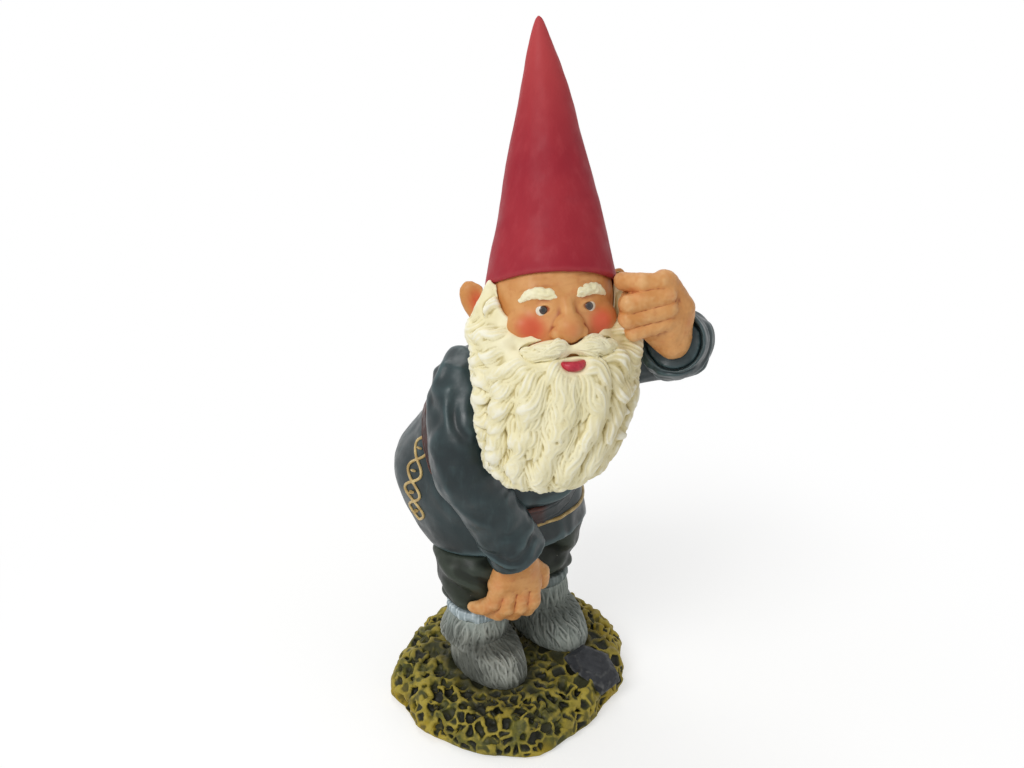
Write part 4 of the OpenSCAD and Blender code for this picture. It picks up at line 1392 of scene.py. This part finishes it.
def buildLocks(name, node, shape, locks):
    obj = clay(name, nodeCopy(node), shape["skin"])
    carve(obj.data, locks, shape["hair"])
    dress(obj, node, "beardPaint", shape["relief"])


def buildMoustache():
    picker = random.Random(moustache["seed"])
    tree = smoothTree("moustache", moustache["tracing"])
    way = Vector(beardFrame @ (0, 1, 0))
    rows = moustache["rows"]
    level, droop = moustache["middle"]
    locks = []
    for side in (-1, 1):
        def outwards(point):
            local = (point - headMiddle) @ beardFrame
            return beardFrame @ (side, 0.3, -0.12 - 0.035 * abs(local[0]))

        for x in moustache["starts"]:
            for k in range(rows):
                z = level - droop * x * x + (k - rows // 2) * moustache["rowStep"]
                z += picker.uniform(-0.5, 0.5)
                spot = tree.ray_cast(Vector(onBeard(side * x, -45, z)), way)[0]
                if spot is not None:
                    locks.append(lockAt(picker, tree, spot, outwards, moustache["lock"]))
    buildLocks("carvedMoustache", "moustache", moustache, locks)


hair = {
    "seed": 9,
    "skin": (0.36, 4),
    "tracing": (0.5, 4),
    "rows": (13, 9, 5, 1, -3, -7, -11),  # heights
    "scatter": 2,  # of the starts, up and down
    "locks": 30,  # in a row
    "arc": (72, 216),  # degrees at which a row starts, and how far it goes round
    "lock": {
        "length": (9.0, 14.0), "steps": 9, "swing": (0.3, 0.7), "phase": (0, 6.28), "curl": 5.0,
        "width": (1.6, 2.5), "lift": (-0.3, 0.3), "tilt": 0.9,
    },
    "hair": {"height": 1.0, "floor": 0.2, "hole": 0.8, "strands": 3, "lineDepth": 0.2, "reach": 22},
    "relief": (8, 0.6),
}


def buildHair():
    picker = random.Random(hair["seed"])
    tree = smoothTree("hair", hair["tracing"])
    start, arc = hair["arc"]
    scatter = hair["scatter"]
    locks = []

    def downTheNape(point):
        return np.array((0, 0, -1.0))

    for row in hair["rows"]:
        for k in range(hair["locks"]):
            turn = math.radians(start + arc * (k + picker.uniform(0, 1)) / hair["locks"])
            way = beardFrame @ (math.sin(turn), -math.cos(turn), 0)
            axis = onBeard(0, 2, row + picker.uniform(-scatter, scatter))
            spot = tree.ray_cast(Vector(axis + way * 50), Vector(-way))[0]
            if spot is not None:
                locks.append(lockAt(picker, tree, spot, downTheNape, hair["lock"]))
    buildLocks("carvedHair", "hair", hair, locks)


brows = {
    "skin": (0.2, 2),
    "strands": 9,
    "radii": (0.6, 0.85, 0.8, 0.6, 0.3),  # of a strand, from its root to its tip
    "roots": (7.4, 8.5),  # middle and width of the row of roots
    "sweep": (2.4, 1.2),  # how far a strand runs outwards and up
    "front": (-19.6, 0.055),  # y in the middle of the face, and how it goes back sideways
    "swell": 0.2,  # how far the middle of a strand stands out
    "arch": (7.0, 6, 1.1),  # middle, half width and height
    "level": 5.7,
    "stagger": 0.9,  # how much lower every other strand lies
    "lumps": ((1.0, 5.0, 0.35),),
    "relief": (6, 0.3),
}


def buildBrow(side):
    sign = 1 if side == "left" else -1
    paths = []
    middle, width = brows["roots"]
    out, up = brows["sweep"]
    front, back = brows["front"]
    top, half, rise = brows["arch"]
    for k in range(brows["strands"]):
        root = middle + (k / (brows["strands"] - 1) - 0.5) * width
        points = []
        for t in np.linspace(0, 1, len(brows["radii"])):
            x = root + out * t
            y = front + back * x * x - brows["swell"] * math.sin(t * 3.1)
            arch = 1 - ((x - top) / half) ** 2
            z = brows["level"] + rise * arch + up * t - brows["stagger"] * (k % 2)
            points.append(onHead(sign * x, y, z))
        paths.append((points, brows["radii"]))
    bm = nodeCopy(side + "_eyebrow")
    addStrands(bm, paths)
    obj = clay(side + "CarvedBrow", bm, brows["skin"])
    push(obj.data, uneven(coords(obj.data) * (0.7, 1, 1), brows["lumps"]))
    dress(obj, side + "_eyebrow", "beardPaint", brows["relief"])


lip = {"skin": (0.16, 6), "lumps": ((1.6, 2.0, 0.08),), "relief": (8, 0.25)}


# hat

hat = {
    "skin": (0.6, 14),
    "dents": (13, 2.0, 0.55),  # drawn out upwards
    "lumps": ((5, 1.0, 0.1),),
    "hang": (1.7, 0.02, 5.0),  # as the ribs of the cuffs
    "drape": 0.4,
    "folds": (76, 40),  # heights between which they fade in, downwards
    "rim": (0.12, 0.6, 0.9),  # how far it stands out, its height above the edge and its width
    "edge": 7,  # height of the edge over the middle of the head
    "edgeFall": (0.075, 0.3),  # for each millimetre sideways and back
    "tip": (84, 78),  # heights between which the tip becomes smooth
    "tipPaint": (35, 85),
    "relief": (14, 0.5),
}


def buildHat():
    obj, mesh, co = grown("conePaintedHat", "hat", hat["skin"])
    x, y, up = ((co - headMiddle) @ headFrame).T
    height = uneven(co * (1, 1, 0.6), (hat["dents"],)) + uneven(co, hat["lumps"])
    height += drape(np.arctan2(y, x), up, *hat["hang"]) * hat["drape"] * ramp(*hat["folds"], up)
    edge = hat["edge"] - np.stack((x, y), 1) @ hat["edgeFall"]
    height += band(up - edge, hat["rim"])
    push(mesh, height * ramp(*hat["tip"], up))
    storeFloat(mesh, "tip", ramp(*hat["tipPaint"], up))
    dress(obj, "hat", "hatPaint", hat["relief"])


placeCamera()
buildStudio()
print("stage: camera, floor and light")
buildGround()
buildPlain("groundStone", "ground_stone", "stonePaint", stone)
for side in sides:
    buildBoot(side)
    buildBootCuff(side)
    buildTrouserLeg(side)
print("stage: ground and legs")
coatTree = buildCoat()
buildBelt()
buildTrim(coatTree)
for side in sides:
    buildSleeve(side, coatTree)
print("stage: clothes")
buildHead()
for side in sides:
    buildEar(side)
    buildHand(side)
buildPlain("paintedLip", "lower_lip", "lipPaint", lip)
print("stage: head and hands")
buildBeard()
buildMoustache()
buildHair()
for side in sides:
    buildBrow(side)
buildHat()
print("stage: hair and hat")

for side in sides:
    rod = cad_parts[side + "_leg_rod"]
    rod.data.materials.clear()
    rod.data.materials.append(painted("rodSteel"))
